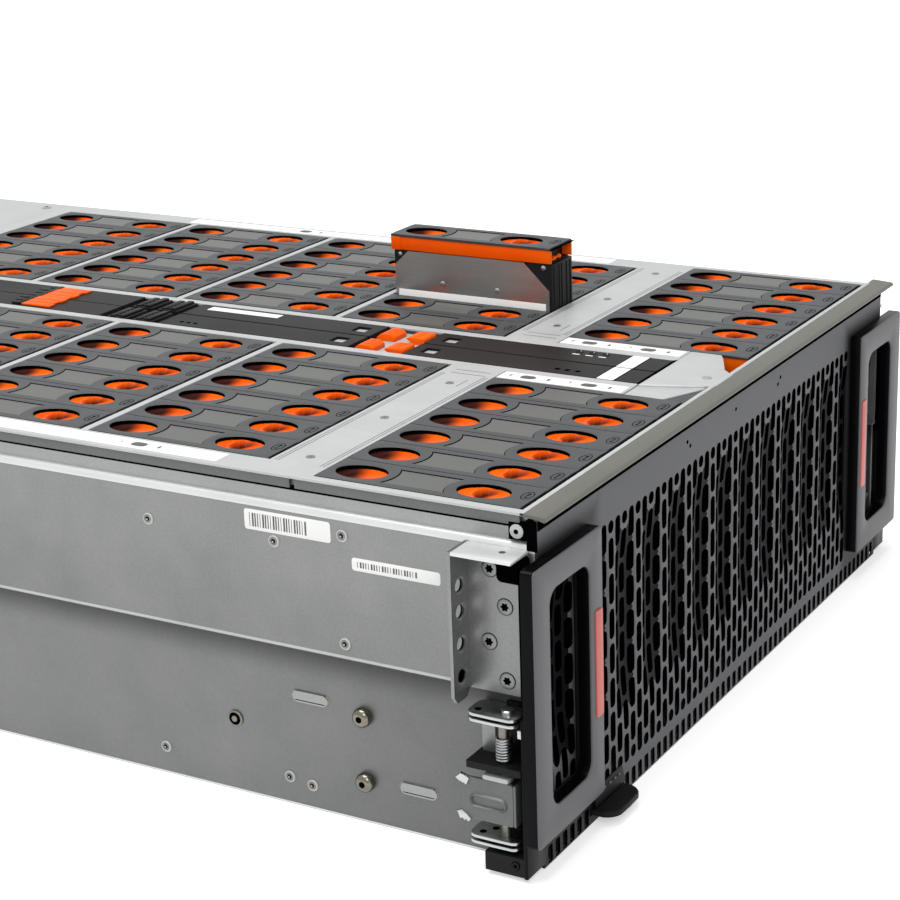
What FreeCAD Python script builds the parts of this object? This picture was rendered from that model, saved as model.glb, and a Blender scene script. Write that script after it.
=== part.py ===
"""Four-unit storage enclosure with upright drive carriers that load from above.

Millimetres, +Z up. The front faces -Y and +X is to the right seen from the front.
The origin is the middle of the footprint, on the floor.
"""
import FreeCAD, Part
import math
import os
import re
import Sketcher

SIZES = {
    # chassis
    "chassis_width": 447,
    "chassis_height": 175,
    "chassis_depth": 845,
    "gauge": 1.5,
    "ledge_height": 88,
    "rail_recess": 3,
    "hem": 3,
    "tag_reach": 20,
    "rear_reach": 22,
    "running_gap": 0.3,
    # bays and rows
    "bays_in_block": 6,
    "bay_pitch": 29.2,
    "row_front": 3,
    "row_gap": 5.5,
    "crossbar_gap": 34,
    "row1_inner": 43.6,
    "rows_inner": 31.1,
    "bay_gap": 0.6,
    "lift": 38,
    # carrier
    "cap_width": 28.6,
    "cap_length": 110,
    "cap_plate": 3,
    "cap_height": 14,
    "cap_wall": 3.2,
    "well_length": 27.2,
    "well_width": 18.6,
    "well_front": 27.5,
    "well_rear": 17,
    "latch_width": 25,
    "latch_travel": 3,
    "scoop_depth": 6,
    "drive_length": 101.6,
    "drive_width": 26.1,
    "drive_height": 147,
    "plate_gauge": 1,
    "plate_chamfer": 18,
    "plate_height": 100,
    # front
    "panel_lead": 7,
    "panel_top": 168,
    "panel_bottom": 0.5,
    "lip_lead": 11.5,
    "lip_rear": 1.5,
    "lip_drop": 1,
    "lip_skirt": 2.2,
    "handle_lead": 14,
    "handle_outer": 241,
    "handle_inner": 173,
    "handle_low": 19,
    "handle_high": 155,
    "handle_radius": 8,
    "window_outer": 226,
    "window_inner": 186,
    "window_low": 34,
    "window_high": 141,
    "window_radius": 9,
    "strip_inner": 175,
    "strip_width": 7,
    "strip_low": 61,
    "strip_high": 115,
    "strip_proud": 0.8,
    "slot_width": 5.8,
    "slot_length": 15.6,
    "slot_pitch": 18,
    "column_pitch": 7.5,
    "grille_low": 15.7,
    "pan_setback": 6,
    # service tag
    "tag_inner": 142,
    "tag_outer": 175,
    "tag_depth": 68,
    "tag_thickness": 3,
    "tag_corner": 5,
    # rack ears
    "ear_outer": 240.5,
    "ear_gauge": 1.8,
    "ear_low": 86.5,
    "ear_high": 158,
    "ear_lead": 2.5,
    "ear_setback": 28.2,
    "ear_hole": 6.4,
    "ear_hole_out": 232.5,
    "ear_hole_low": 94.9,
    "ear_hole_pitch": 15.875,
    "ear_hole_close": 12.7,
    # rack latch
    "latch_box_outer": 239,
    "latch_box_low": 12,
    "latch_box_high": 80,
    "latch_box_front": -4,
    "latch_box_depth": 30,
    "pin_radius": 2.5,
    "pin_fit": 0.06,
    "pin_out": 232,
    "pin_back": 8,
    "lever_low": 20,
    "lever_high": 51,
    "lever_face": 5,
    "lever_tail": 23,
    "lever_nose": 9,
    "lever_tab": 12,
    "lever_room": 2,
    "spring_radius": 5.2,
    "spring_length": 15.6,
    "block_height": 3.5,
    "corner_height": 9.6,
    # studs on the lower walls
    "stud_radius": 6.5,
    "stud_length": 5,
    "stud_back": 91,
    "stud_low": 22.4,
    "stud_spacing": 34.4,
    # spine
    "spine_half": 30,
    "spine_depth": 53,
    "cover_half": 23.4,
    "cover_seam": 0.4,
    "cover_height": 3.5,
    "cover_flange": 1.8,
    "gusset_depth": 36.5,
    "gusset_shoulder": 18,
    "gusset_nose": 16,
    "deck_gap_front": 183,
    "deck_gap_rear": 219,
    "middle_cover_rear": 352,
    "rear_cover_front": 396,
    "cover_window": 9,
    "cover_window_back": 12,
    "ejector_width": 18,
    "ejector_seam": 3,
    "ejector_length": 15,
    "ejector_pivot_in": 3,
    "ejector_heel": 0.8,
    "ejector_tip": 2,
    "ejector_rise": 4,
    "connector_length": 15,
    "connector_height": 5,
    "connector_gap": 4,
    "connector_seam": 2,
    "ribbon_front": 436,
    "ribbon_length": 22,
    "ribbon_half": 21,
    "ribbon_thickness": 1.2,
    # boards
    "floor_rib": 3.5,
    "floor_rib_width": 8,
    "floor_rib_inset": 16,
    "board_gauge": 2.4,
    "board_front": 55,
    "socket_depth": 8,
    "socket_back": 75,
    # rear
    "rear_bar": 16,
    "rib_drop": 22,
    "psu_out": 171,
    "psu_width": 86,
    "psu_height": 40,
    "bay_depth": 185,
    "module_out": 58,
    "module_width": 110,
    "module_height": 80,
    "port_width": 26,
    "port_height": 18,
    "port_depth": 10,
    "port_low": 5,
    "port_gap": 6,
    "bail_width": 50,
    "bail_bar": 5,
    "bail_drop": 10,
    "fan_pitch": 84,
    "fan_size": 80,
    "fan_depth": 38,
    "fan_bore": 76,
    "fan_low": 90,
    "hub_radius": 16,
    "hub_depth": 18,
    "strut_root": 1,
    "blade_reach": 35,
    "blade_sweep": 9,
    "blade_gauge": 2,
    "blade_root": 2,
    "blade_inset": 1,
    "motor_plate": 3,
}

ROWS = 5
BLADES = 5
GRILLE_ROWS = 7
LOW_COLUMNS = 23
SLATS = 4
EAR_HOLES = 4
FANS = 4
FAN_SIDES = 12
HUB_SIDES = 8
SPRING_SIDES = 10
BORE_SIDES = 12
SIDES = {"left": -1, "right": 1}

doc = FreeCAD.newDocument("storage_server")
sheet = doc.addObject("Spreadsheet::Sheet", "sizes")
for line, (size_name, size) in enumerate(SIZES.items(), start=1):
    sheet.set(f"A{line}", size_name)
    sheet.set(f"B{line}", str(size))
    sheet.setAlias(f"B{line}", size_name)
doc.recompute()

nodes = []
BAYS = int(SIZES["bays_in_block"])

# Places that several pieces share, measured back from the front plane of the chassis
# or up from the floor.
FRONT = "((tag_reach - chassis_depth - rear_reach) / 2)"
HALF = "(chassis_width / 2)"
WALL = f"({HALF} - rail_recess)"
UNDER_TOP = "(chassis_height - gauge)"
PANEL_BACK = "(gauge - panel_lead)"
ROW_2 = "(row_front + cap_length + crossbar_gap)"
ROW_PITCH = "(cap_length + row_gap)"
ROWS_END = f"({ROW_2} + {ROWS - 2} * {ROW_PITCH} + cap_length)"
RAIL_INNER = "(rows_inner + bays_in_block * bay_pitch)"
RAIL_INNER_1 = "(row1_inner + bays_in_block * bay_pitch)"
DRIVE_TOP = "(chassis_height - cap_height)"
DRIVE_BOTTOM = f"({DRIVE_TOP} - drive_height)"
FLOOR_SEAT = "(gauge + floor_rib)"
BOARD_TOP = f"({FLOOR_SEAT} + board_gauge)"
GUSSET_REAR = "(lip_rear + gusset_depth)"
SPINE_DECK = "(chassis_height - cover_height)"


def back(place):
    """Y of a place measured back from the front plane."""
    return f"({FRONT} + {place})"


def row_front(row):
    """Front edge of a row of carriers, measured back from the front plane."""
    if row == 1:
        return "row_front"
    return f"({ROW_2} + {row - 2} * {ROW_PITCH})"


def bay_centre(side, row, bay):
    """X of the middle of a bay."""
    inner = "row1_inner" if row == 1 else "rows_inner"
    return f"{side} * ({inner} + cap_width / 2 + {bay} * bay_pitch)"


def expand(expression):
    """The expression with each named size turned into a reference to the sheet."""
    return re.sub(
        r"[a-z]\w*",
        lambda word: f"sizes.{word[0]}" if word[0] in SIZES else word[0],
        str(expression),
    )


def bind(thing, prop, expression):
    thing.setExpression(prop, expand(expression))


def amount(expression):
    """The value of an expression at the sheet's present sizes."""
    numbers = re.sub(
        r"[a-z]\w*",
        lambda word: f"({sheet.get(word[0])})" if word[0] in SIZES else word[0],
        str(expression),
    )
    return float(FreeCAD.Units.parseQuantity(numbers))


def node(thing, name):
    """Names a sub-part and adds it to the ones that are written out."""
    thing.Label = name
    nodes.append(thing)
    return thing


def place(thing, x="0", y="0", z="0"):
    for axis, expression in zip("xyz", (x, y, z)):
        bind(thing, f"Placement.Base.{axis}", expression)
    return thing


def box(name, x, y, z):
    """A block between (low, high) pairs of expressions."""
    block = doc.addObject("Part::Box", name)
    for prop, (low, high) in zip(("Length", "Width", "Height"), (x, y, z)):
        bind(block, prop, f"({high}) - ({low})")
    return place(block, x[0], y[0], z[0])


def rod(name, radius, height, x, y, z, tilt=None):
    """A cylinder along Z, or along the axis that tilt turns Z to."""
    cylinder = doc.addObject("Part::Cylinder", name)
    bind(cylinder, "Radius", radius)
    bind(cylinder, "Height", height)
    if tilt:
        cylinder.Placement.Rotation = tilt
    return place(cylinder, x, y, z)


def prism(name, sides, flat, height, x, y, z):
    """An upright prism whose flat sides stand at a radius from its axis."""
    piece = doc.addObject("Part::Prism", name)
    piece.Polygon = sides
    bind(piece, "Circumradius", f"({flat}) / cos(180 deg / {sides})")
    bind(piece, "Height", height)
    return place(piece, x, y, z)


def group(name, pieces):
    bundle = doc.addObject("Part::Compound", name)
    bundle.Links = pieces
    return bundle


def fuse(name, pieces):
    joined = doc.addObject("Part::MultiFuse", name)
    joined.Shapes = pieces
    return joined


def cut(name, base, tools):
    result = doc.addObject("Part::Cut", name)
    result.Base = base
    result.Tool = tools[0] if len(tools) == 1 else group(f"{name}_tools", tools)
    return result


def mirror(name, source):
    """The same piece on the other side of the middle plane."""
    other = doc.addObject("Part::Mirroring", name)
    other.Source = source
    other.Normal = (1, 0, 0)
    return other


def pair(name, left):
    """A left piece and its mirror image as one node."""
    return node(group(name, [left, mirror(f"{name}_mirror", left)]), name)


def origin_feature(body, role):
    return next(item for item in body.Origin.OriginFeatures if item.Role == role)


def sketch(body, name, plane, start, outlines):
    """Closed outlines of (across, up) expressions on a plane moved along its normal."""
    drawing = body.newObject("Sketcher::SketchObject", name)
    drawing.AttachmentSupport = [(origin_feature(body, plane), "")]
    drawing.MapMode = "FlatFace"
    bind(drawing, "AttachmentOffset.Base.z", start)
    for outline in outlines:
        first = drawing.GeometryCount
        spots = [FreeCAD.Vector(amount(across), amount(up), 0) for across, up in outline]
        for spot, following in zip(spots, spots[1:] + spots[:1]):
            drawing.addGeometry(Part.LineSegment(spot, following))
        for corner, (across, up) in enumerate(outline):
            edge = first + corner
            after = first + (corner + 1) % len(outline)
            drawing.addConstraint(Sketcher.Constraint("Coincident", edge, 2, after, 1))
            for kind, expression in (("DistanceX", across), ("DistanceY", up)):
                size = amount(expression)
                index = drawing.addConstraint(Sketcher.Constraint(kind, -1, 1, edge, 1, size))
                bind(drawing, f"Constraints[{index}]", expression)
    return drawing


def pad(body, name, drawing, length, both=False):
    feature = body.newObject("PartDesign::Pad", name)
    feature.Profile = drawing
    feature.Midplane = both
    bind(feature, "Length", length)
    return feature


def pocket_through(body, name, drawing):
    """A cut of the sketch right through the body, both ways."""
    feature = body.newObject("PartDesign::Pocket", name)
    feature.Profile = drawing
    feature.Type = 1
    feature.Midplane = True
    return feature


def extrude_x(name, outlines, low, high):
    """A body of YZ outlines between two X places."""
    body = doc.addObject("PartDesign::Body", name)
    drawing = sketch(body, f"{name}_profile", "YZ_Plane", low, outlines)
    pad(body, f"{name}_pad", drawing, f"({high}) - ({low})")
    return body


def extrude_y(name, outlines, front, rear):
    """A body of XZ outlines between two Y places."""
    body = doc.addObject("PartDesign::Body", name)
    drawing = sketch(body, f"{name}_profile", "XZ_Plane", f"-({rear})", outlines)
    pad(body, f"{name}_pad", drawing, f"({rear}) - ({front})")
    return body


def extrude_z(name, outlines, low, high):
    """A body of XY outlines between two heights."""
    body = doc.addObject("PartDesign::Body", name)
    drawing = sketch(body, f"{name}_profile", "XY_Plane", low, outlines)
    pad(body, f"{name}_pad", drawing, f"({high}) - ({low})")
    return body


def rectangle(x, y):
    """Corners of a rectangle between (low, high) pairs."""
    return [(x[0], y[0]), (x[1], y[0]), (x[1], y[1]), (x[0], y[1])]


def both_signs(half):
    return (f"-({half})", half)


def fillet_along_y(body, name, radius, spots):
    """Rounds the edges along Y that pass through the given (x, z) spots."""
    doc.recompute()
    shape = body.Tip.Shape
    picked = []
    for number, edge in enumerate(shape.Edges, start=1):
        ends = [vertex.Point for vertex in edge.Vertexes]
        if len(ends) != 2 or abs(ends[0].y - ends[1].y) < 1e-3:
            continue
        if any(math.hypot(ends[0].x - amount(x), ends[0].z - amount(z)) < 1e-3 for x, z in spots):
            picked.append(f"Edge{number}")
    feature = body.newObject("PartDesign::Fillet", name)
    feature.Base = (body.Tip if feature is not body.Tip else feature.BaseFeature, picked)
    bind(feature, "Radius", radius)
    return feature


def chassis_tray():
    """The pan: floor, lower walls and the ribs under the boards, the modules and the tag."""
    rim = "ledge_height - gauge"
    pan = extrude_y(
        "pan",
        [[
            (f"-{WALL}", "0"), (WALL, "0"), (WALL, rim), (f"{WALL} - gauge", rim),
            (f"{WALL} - gauge", "gauge"), (f"gauge - {WALL}", "gauge"), (f"gauge - {WALL}", rim),
            (f"-{WALL}", rim),
        ]],
        back(PANEL_BACK), back("chassis_depth"),
    )
    ribs = []
    for side in SIDES.values():
        for out in ("rows_inner + floor_rib_inset", f"{RAIL_INNER} - floor_rib_inset"):
            spot = f"{side} * ({out})"
            ribs.append(box(
                "board_rib", (f"{spot} - floor_rib_width / 2", f"{spot} + floor_rib_width / 2"),
                (back("board_front"), back("chassis_depth - gauge")), ("gauge", FLOOR_SEAT),
            ))
    for spot in ("-tag_inner - floor_rib_width", "-tag_outer"):
        ribs.append(box(
            "tag_rib", (spot, f"{spot} + floor_rib_width"),
            (back(PANEL_BACK), back("tag_depth - tag_reach")), ("gauge", FLOOR_SEAT),
        ))
    node(fuse("tray", [pan] + ribs), "chassis_tray")


def side_skins():
    """Upper side walls that overhang the lower ones, with a ledge flange and a top hem."""
    outline = [
        (f"-{HALF}", "ledge_height - gauge"), (f"gauge - {WALL}", "ledge_height - gauge"),
        (f"gauge - {WALL}", "ledge_height"), (f"gauge - {HALF}", "ledge_height"),
        (f"gauge - {HALF}", f"{UNDER_TOP} - gauge"), (f"hem - {HALF}", f"{UNDER_TOP} - gauge"),
        (f"hem - {HALF}", UNDER_TOP), (f"-{HALF}", UNDER_TOP),
    ]
    pair("side_skins", extrude_y("left_skin", [outline], back(PANEL_BACK), back("chassis_depth")))


def top_rails():
    """Flat rails on the side walls: narrow beside the first row, wider beside the others."""
    outer = f"-{HALF}"
    step = f"{ROW_2} - crossbar_gap + bay_gap"
    plan = [
        (outer, back("lip_rear")), (f"-{RAIL_INNER_1}", back("lip_rear")),
        (f"-{RAIL_INNER_1}", back(step)), (f"-{RAIL_INNER}", back(step)),
        (f"-{RAIL_INNER}", back(f"{ROWS_END} + rear_bar")), (outer, back(f"{ROWS_END} + rear_bar")),
    ]
    rail = extrude_z("left_rail", [plan], UNDER_TOP, "chassis_height")
    web = [
        rectangle((f"-{RAIL_INNER} - gauge", f"-{RAIL_INNER}"), (back(ROW_2), back(ROWS_END))),
        rectangle((f"-{RAIL_INNER_1} - gauge", f"-{RAIL_INNER_1}"), (back("lip_rear"), back(step))),
    ]
    low = f"{UNDER_TOP} - rib_drop"
    pad(rail, "left_rail_web", sketch(rail, "left_rail_webs", "XY_Plane", low, web), "rib_drop")
    pair("top_rails", rail)


def front_panel():
    """The perforated front: columns of slots, half a pitch apart from one to the next."""
    notch = "window_inner"
    outline = [
        (f"-{HALF}", "panel_bottom"), (HALF, "panel_bottom"), (HALF, "window_low"),
        (notch, "window_low"), (notch, "window_high"), (HALF, "window_high"), (HALF, "panel_top"),
        (f"-{HALF}", "panel_top"), (f"-{HALF}", "window_high"), (f"-{notch}", "window_high"),
        (f"-{notch}", "window_low"), (f"-{HALF}", "window_low"),
    ]
    tag_slot = rectangle(
        ("-tag_outer - 3 * running_gap", "-tag_inner + 3 * running_gap"),
        (FLOOR_SEAT, f"{FLOOR_SEAT} + tag_thickness + 2 * running_gap"),
    )
    body = extrude_y("panel", [outline, tag_slot], back("-panel_lead"), back(PANEL_BACK))
    for name, count, low in (
        ("low", LOW_COLUMNS, "grille_low"), ("high", LOW_COLUMNS - 1, "grille_low + slot_pitch / 2"),
    ):
        middle = f"-({count} - 1) * column_pitch"
        slot = rectangle(
            (f"{middle} - slot_width / 2", f"{middle} + slot_width / 2"), (low, f"{low} + slot_length"),
        )
        pattern_slots(
            body, f"{name}_columns", slot,
            {"H_Axis": (count, "2 * column_pitch"), "V_Axis": (GRILLE_ROWS, "slot_pitch")},
        )
    node(body, "front_panel")


def pattern_slots(body, name, outline, steps):
    """Cuts one slot through the body and repeats it along each axis."""
    doc.recompute()
    drawing = sketch(body, f"{name}_slot", "XZ_Plane", f"-{back('-panel_lead')}", [outline])
    doc.recompute()
    first = pocket_through(body, f"{name}_cut", drawing)
    doc.recompute()
    many = body.newObject("PartDesign::MultiTransform", name)
    many.Originals = [first]
    repeats = []
    for axis, (count, pitch) in steps.items():
        repeat = body.newObject("PartDesign::LinearPattern", f"{name}_{axis}")
        repeat.Direction = (drawing, [axis])
        repeat.Occurrences = count
        bind(repeat, "Length", f"{count - 1} * {pitch}")
        repeats.append(repeat)
    many.Transformations = repeats
    body.Tip = many


def inner_grilles():
    """Slatted plates set back behind the handle windows."""
    outer = f"{WALL} - gauge - running_gap"
    inner = "window_inner - gauge"
    height = ("window_low - slot_width", "window_high + slot_width")
    slats = []
    for slot in range(1, SLATS + 1):
        middle = f"-window_inner - {slot} * column_pitch"
        slats.append(rectangle(
            (f"{middle} - slot_width / 2", f"{middle} + slot_width / 2"),
            ("window_low + gauge", "window_high - gauge"),
        ))
    outline = rectangle((f"-({outer})", f"-({inner})"), height)
    rear = "(pan_setback - panel_lead + gauge)"
    plate = extrude_y("left_inner_grille", [outline] + slats, back(f"{rear} - gauge"), back(rear))
    rim = rectangle((f"-({inner}) - gauge", f"-({inner})"), height)
    drawing = sketch(plate, "left_inner_rim_profile", "XZ_Plane", f"-{back(rear)}", [rim])
    pad(plate, "left_inner_rim", drawing, f"{rear} - {PANEL_BACK}")
    pair("inner_grilles", plate)


def front_lip():
    """Sloped strip along the top front edge, with a skirt and a stem on the panel."""
    high = "chassis_height"
    nose = back("-lip_lead")
    skirt = f"{high} - lip_drop - lip_skirt"
    outline = [
        (back("lip_rear"), high), (nose, f"{high} - lip_drop"), (nose, skirt),
        (f"{nose} + gauge", skirt), (f"{nose} + gauge", f"{high} - lip_drop - gauge"),
        (back("-panel_lead"), UNDER_TOP), (back("-panel_lead"), "panel_top"),
        (back(PANEL_BACK), "panel_top"), (back(PANEL_BACK), UNDER_TOP), (back("lip_rear"), UNDER_TOP),
    ]
    node(extrude_x("lip", [outline], f"-{HALF}", HALF), "front_lip")


def bezel_handles():
    """Upright handles with a rounded window each, and a coloured strip along the inner edge."""
    frame = rectangle(("-handle_outer", "-handle_inner"), ("handle_low", "handle_high"))
    window = rectangle(("-window_outer", "-window_inner"), ("window_low", "window_high"))
    left = extrude_y("left_handle", [frame, window], back("-handle_lead"), back("-panel_lead"))
    inner_corners = [("-handle_inner", "handle_low"), ("-handle_inner", "handle_high")]
    fillet_along_y(left, "left_inner_corners", "handle_radius", inner_corners)
    fillet_along_y(left, "left_window_corners", "window_radius", window)
    node(left, "bezel_handle_left")
    node(mirror("right_handle", left), "bezel_handle_right")
    strip = box(
        "left_strip", ("-strip_inner - strip_width", "-strip_inner"),
        (back("-handle_lead - strip_proud"), back("-handle_lead")), ("strip_low", "strip_high"),
    )
    pair("accent_strips", strip)


def ear_brackets():
    """Rack ears: a web on the skin, a flange with rack holes that faces the front, and a flap on top."""
    front = back("-ear_lead")
    face = back("ear_setback")
    outer = "-ear_outer"
    skin = f"-{HALF}"
    plan = [
        (skin, front), (skin, f"{face} + ear_gauge"), (outer, f"{face} + ear_gauge"), (outer, face),
        (f"{skin} - ear_gauge", face), (f"{skin} - ear_gauge", front),
    ]
    web = extrude_z("left_ear_web", [plan], "ear_low", "ear_high")
    flap = rectangle((outer, skin), (front, face))
    drawing = sketch(web, "left_ear_flap_plan", "XY_Plane", "ear_high - ear_gauge", [flap])
    pad(web, "left_ear_flap", drawing, "ear_gauge")
    to_rear = FreeCAD.Rotation(FreeCAD.Vector(1, 0, 0), -90)
    heights = [f"ear_hole_low + {hole} * ear_hole_pitch" for hole in range(EAR_HOLES - 1)]
    heights.append(f"{heights[-1]} + ear_hole_close")
    holes = [
        rod("ear_hole_cut", "ear_hole / 2", "4 * ear_gauge", "-ear_hole_out", f"{face} - ear_gauge",
            height, to_rear)
        for height in heights
    ]
    pair("ear_brackets", cut("left_ear", web, holes))


def rack_latches():
    """Spring latches under the ears: a box, a pin, a spring over a block, and a lever."""
    outer = "-latch_box_outer"
    wall = f"-{WALL}"
    profile = [
        (outer, "latch_box_low"), (wall, "latch_box_low"), (wall, "latch_box_high"),
        (outer, "latch_box_high"), (outer, "latch_box_high - gauge"),
        (f"{wall} - gauge", "latch_box_high - gauge"), (f"{wall} - gauge", "latch_box_low + gauge"),
        (outer, "latch_box_low + gauge"),
    ]
    depth = (back("latch_box_front"), back("latch_box_front + latch_box_depth"))
    pair("latch_brackets", extrude_y("left_latch_box", [profile], *depth))

    spot = ("-pin_out", back("pin_back"))
    low = "latch_box_low + gauge"
    pin = rod("left_latch_pin", "pin_radius", f"latch_box_high - gauge - ({low})", *spot, low)
    pair("latch_pins", pin)

    shelf = "(lever_high + lever_room)"
    plate = box(
        "left_latch_shelf", (outer, f"{wall} - gauge"), (depth[0], f"{depth[1]} - gauge"),
        (shelf, f"{shelf} + block_height"),
    )
    bore = prism(
        "left_shelf_bore", BORE_SIDES, "pin_radius + pin_fit", "2 * block_height",
        *spot, f"{shelf} - block_height / 2",
    )
    corner = box(
        "left_corner_block", (outer, wall), (back(PANEL_BACK), back("pin_back * 2")),
        ("latch_box_low - corner_height", "latch_box_low"),
    )
    shelf_piece = cut("left_latch_guide", plate, [bore])
    pair("latch_blocks", group("left_latch_blocks", [shelf_piece, corner]))

    seat = f"{shelf} + block_height"
    coil = prism("left_spring_coil", SPRING_SIDES, "spring_radius", "spring_length", *spot, seat)
    core = prism(
        "left_spring_core", SPRING_SIDES, "pin_radius + pin_fit", "2 * spring_length",
        *spot, f"{seat} - spring_length / 2",
    )
    pair("latch_springs", cut("left_spring", coil, [core]))

    face = "-pin_out - lever_face"
    tab = "-pin_out + lever_face"
    fork = [
        (f"{face} - gauge", "lever_low"), (tab, "lever_low"), (tab, "lever_low + gauge"),
        (face, "lever_low + gauge"), (face, "lever_high - gauge"), (tab, "lever_high - gauge"),
        (tab, "lever_high"), (f"{face} - gauge", "lever_high"),
    ]
    reach = (back("pin_back - lever_tab / 2"), back("pin_back + lever_tab / 2"))
    yoke = extrude_y("left_lever_yoke", [fork], *reach)
    paddle = box(
        "left_lever_paddle", (f"{face} - gauge", face),
        (back("pin_back - lever_nose"), back("pin_back + lever_tail")), ("lever_low", "lever_high"),
    )
    pivot = rod("left_lever_bore", "pin_radius + pin_fit", "lever_high", *spot, "lever_low / 2")
    lever = cut("left_lever", fuse("left_lever_blank", [yoke, paddle]), [pivot])
    node(lever, "latch_lever_left")
    node(mirror("right_lever", lever), "latch_lever_right")


def service_tag():
    """Flat tongue that pulls out under the grille."""
    front = back("-tag_reach")
    plan = [
        ("-tag_outer", f"{front} + tag_corner"), ("tag_corner - tag_outer", front),
        ("-tag_inner - tag_corner", front), ("-tag_inner", f"{front} + tag_corner"),
        ("-tag_inner", f"{front} + tag_depth"), ("-tag_outer", f"{front} + tag_depth"),
    ]
    low = f"{FLOOR_SEAT} + running_gap"
    node(extrude_z("tag", [plan], low, f"{low} + tag_thickness"), "service_tag")


def shoulder_studs():
    """Headed studs on the lower walls that hook into the slide rails."""
    across = FreeCAD.Rotation(FreeCAD.Vector(0, 1, 0), 90)
    studs = [
        rod("left_stud", "stud_radius", "stud_length", f"-{WALL} - stud_length",
            back("stud_back"), f"stud_low + {stud} * stud_spacing", across)
        for stud in range(2)
    ]
    pair("shoulder_studs", group("left_studs", studs))


def crossbars():
    """Inverted channels across the deck: two halves behind the first row, one behind the last."""
    low = f"{UNDER_TOP} - rib_drop"

    def channel(front, rear):
        return [
            (front, low), (f"{front} + gauge", low), (f"{front} + gauge", UNDER_TOP),
            (f"{rear} - gauge", UNDER_TOP), (f"{rear} - gauge", low), (rear, low),
            (rear, "chassis_height"), (front, "chassis_height"),
        ]

    front = back("row_front + cap_length + bay_gap")
    rear = back(f"{ROW_2} - bay_gap")
    half = extrude_x("left_front_bar", [channel(front, rear)], f"-{RAIL_INNER}", "-spine_half")
    last = back(ROWS_END)
    profile = channel(f"{last} + bay_gap", f"{last} + rear_bar")
    bar = extrude_x("rear_bar_channel", [profile], f"-{RAIL_INNER}", RAIL_INNER)
    node(group("bars", [half, mirror("right_front_bar", half), bar]), "crossbars")


def bay_dividers():
    """Thin flanged walls between the rows behind the crossbar."""
    walls = []
    for row in range(2, ROWS):
        middle = back(f"{row_front(row)} + cap_length + row_gap / 2")
        flange = "(row_gap / 2 - bay_gap)"
        profile = [
            (f"{middle} - {flange}", UNDER_TOP), (f"{middle} - gauge / 2", UNDER_TOP),
            (f"{middle} - gauge / 2", BOARD_TOP), (f"{middle} + gauge / 2", BOARD_TOP),
            (f"{middle} + gauge / 2", UNDER_TOP), (f"{middle} + {flange}", UNDER_TOP),
            (f"{middle} + {flange}", "chassis_height"), (f"{middle} - {flange}", "chassis_height"),
        ]
        wall = extrude_x(f"divider_{row}", [profile], f"-{RAIL_INNER}", "-spine_half")
        walls += [wall, mirror(f"right_divider_{row}", wall)]
    node(group("dividers", walls), "bay_dividers")


def spine():
    """The channel between the blocks with its rails, covers, harness and gusset."""
    wall = "spine_half"
    inside = "(spine_half - gauge)"
    deck = SPINE_DECK
    low = f"{UNDER_TOP} - spine_depth"
    channel = [
        (f"-{wall}", low), (f"-{inside}", low), (f"-{inside}", f"{deck} - gauge"),
        (inside, f"{deck} - gauge"), (inside, low), (wall, low), (wall, UNDER_TOP),
        (inside, UNDER_TOP), (inside, deck), (f"-{inside}", deck), (f"-{inside}", UNDER_TOP),
        (f"-{wall}", UNDER_TOP),
    ]
    node(extrude_y("spine_body", [channel], back(GUSSET_REAR), back(ROWS_END)), "spine_channel")

    edge = "-(cover_half + cover_seam)"
    step = back("row_front + cap_length")
    plan = [
        (edge, back(GUSSET_REAR)), (edge, back(ROWS_END)), ("-spine_half", back(ROWS_END)),
        ("-spine_half", step), ("bay_gap - row1_inner", step), ("bay_gap - row1_inner", back(GUSSET_REAR)),
    ]
    pair("spine_rails", extrude_z("left_spine_rail", [plan], UNDER_TOP, "chassis_height"))

    section = [
        ("-cover_seam", deck), (f"running_gap - {inside}", deck),
        (f"running_gap - {inside}", f"{deck} + cover_flange"), ("-cover_half", f"{deck} + cover_flange"),
        ("-cover_half", "chassis_height"), ("-cover_seam", "chassis_height"),
    ]
    covers = []
    for name, front, rear, window in (
        (
            "front_cover", f"{GUSSET_REAR} + running_gap", "deck_gap_front",
            "deck_gap_front - cover_window_back",
        ),
        ("middle_cover", "deck_gap_rear", "middle_cover_rear", "deck_gap_rear + cover_window_back"),
        ("rear_spine_cover", "rear_cover_front", ROWS_END, None),
    ):
        lid = extrude_y(name, [section], back(front), back(rear))
        if window:
            opening = rectangle(
                ("-(cover_half + cover_window) / 2", "-(cover_half - cover_window) / 2"),
                (f"{back(window)} - cover_window / 2", f"{back(window)} + cover_window / 2"),
            )
            doc.recompute()
            drawing = sketch(lid, f"{name}_window", "XY_Plane", deck, [opening])
            doc.recompute()
            pocket_through(lid, f"{name}_opening", drawing)
        covers += [lid, mirror(f"{name}_mirror", lid)]
    node(group("covers", covers), "spine_covers")

    plugs = []
    for row in range(2):
        front = f"middle_cover_rear + connector_gap + {row} * (connector_length + connector_gap)"
        plug = box(
            "left_plug", ("-cover_half", "-connector_seam"),
            (back(front), back(f"{front} + connector_length")), (deck, f"{deck} + connector_height"),
        )
        plugs += [plug, mirror("right_plug", plug)]
    ribbon = box(
        "ribbon", both_signs("ribbon_half"),
        (back("ribbon_front"), back("ribbon_front + ribbon_length")),
        ("chassis_height", "chassis_height + ribbon_thickness"),
    )
    node(group("harness", plugs + [ribbon]), "spine_harness")

    half = "(row1_inner - bay_gap)"
    front = back("lip_rear")
    shoulder = back("lip_rear + gusset_shoulder")
    wedge = [
        (f"-{half}", back(GUSSET_REAR)), (f"-{half}", shoulder), ("-gusset_nose", front),
        ("gusset_nose", front), (half, shoulder), (half, back(GUSSET_REAR)),
    ]
    node(extrude_z("gusset", [wedge], UNDER_TOP, "chassis_height"), "front_gusset")


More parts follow.
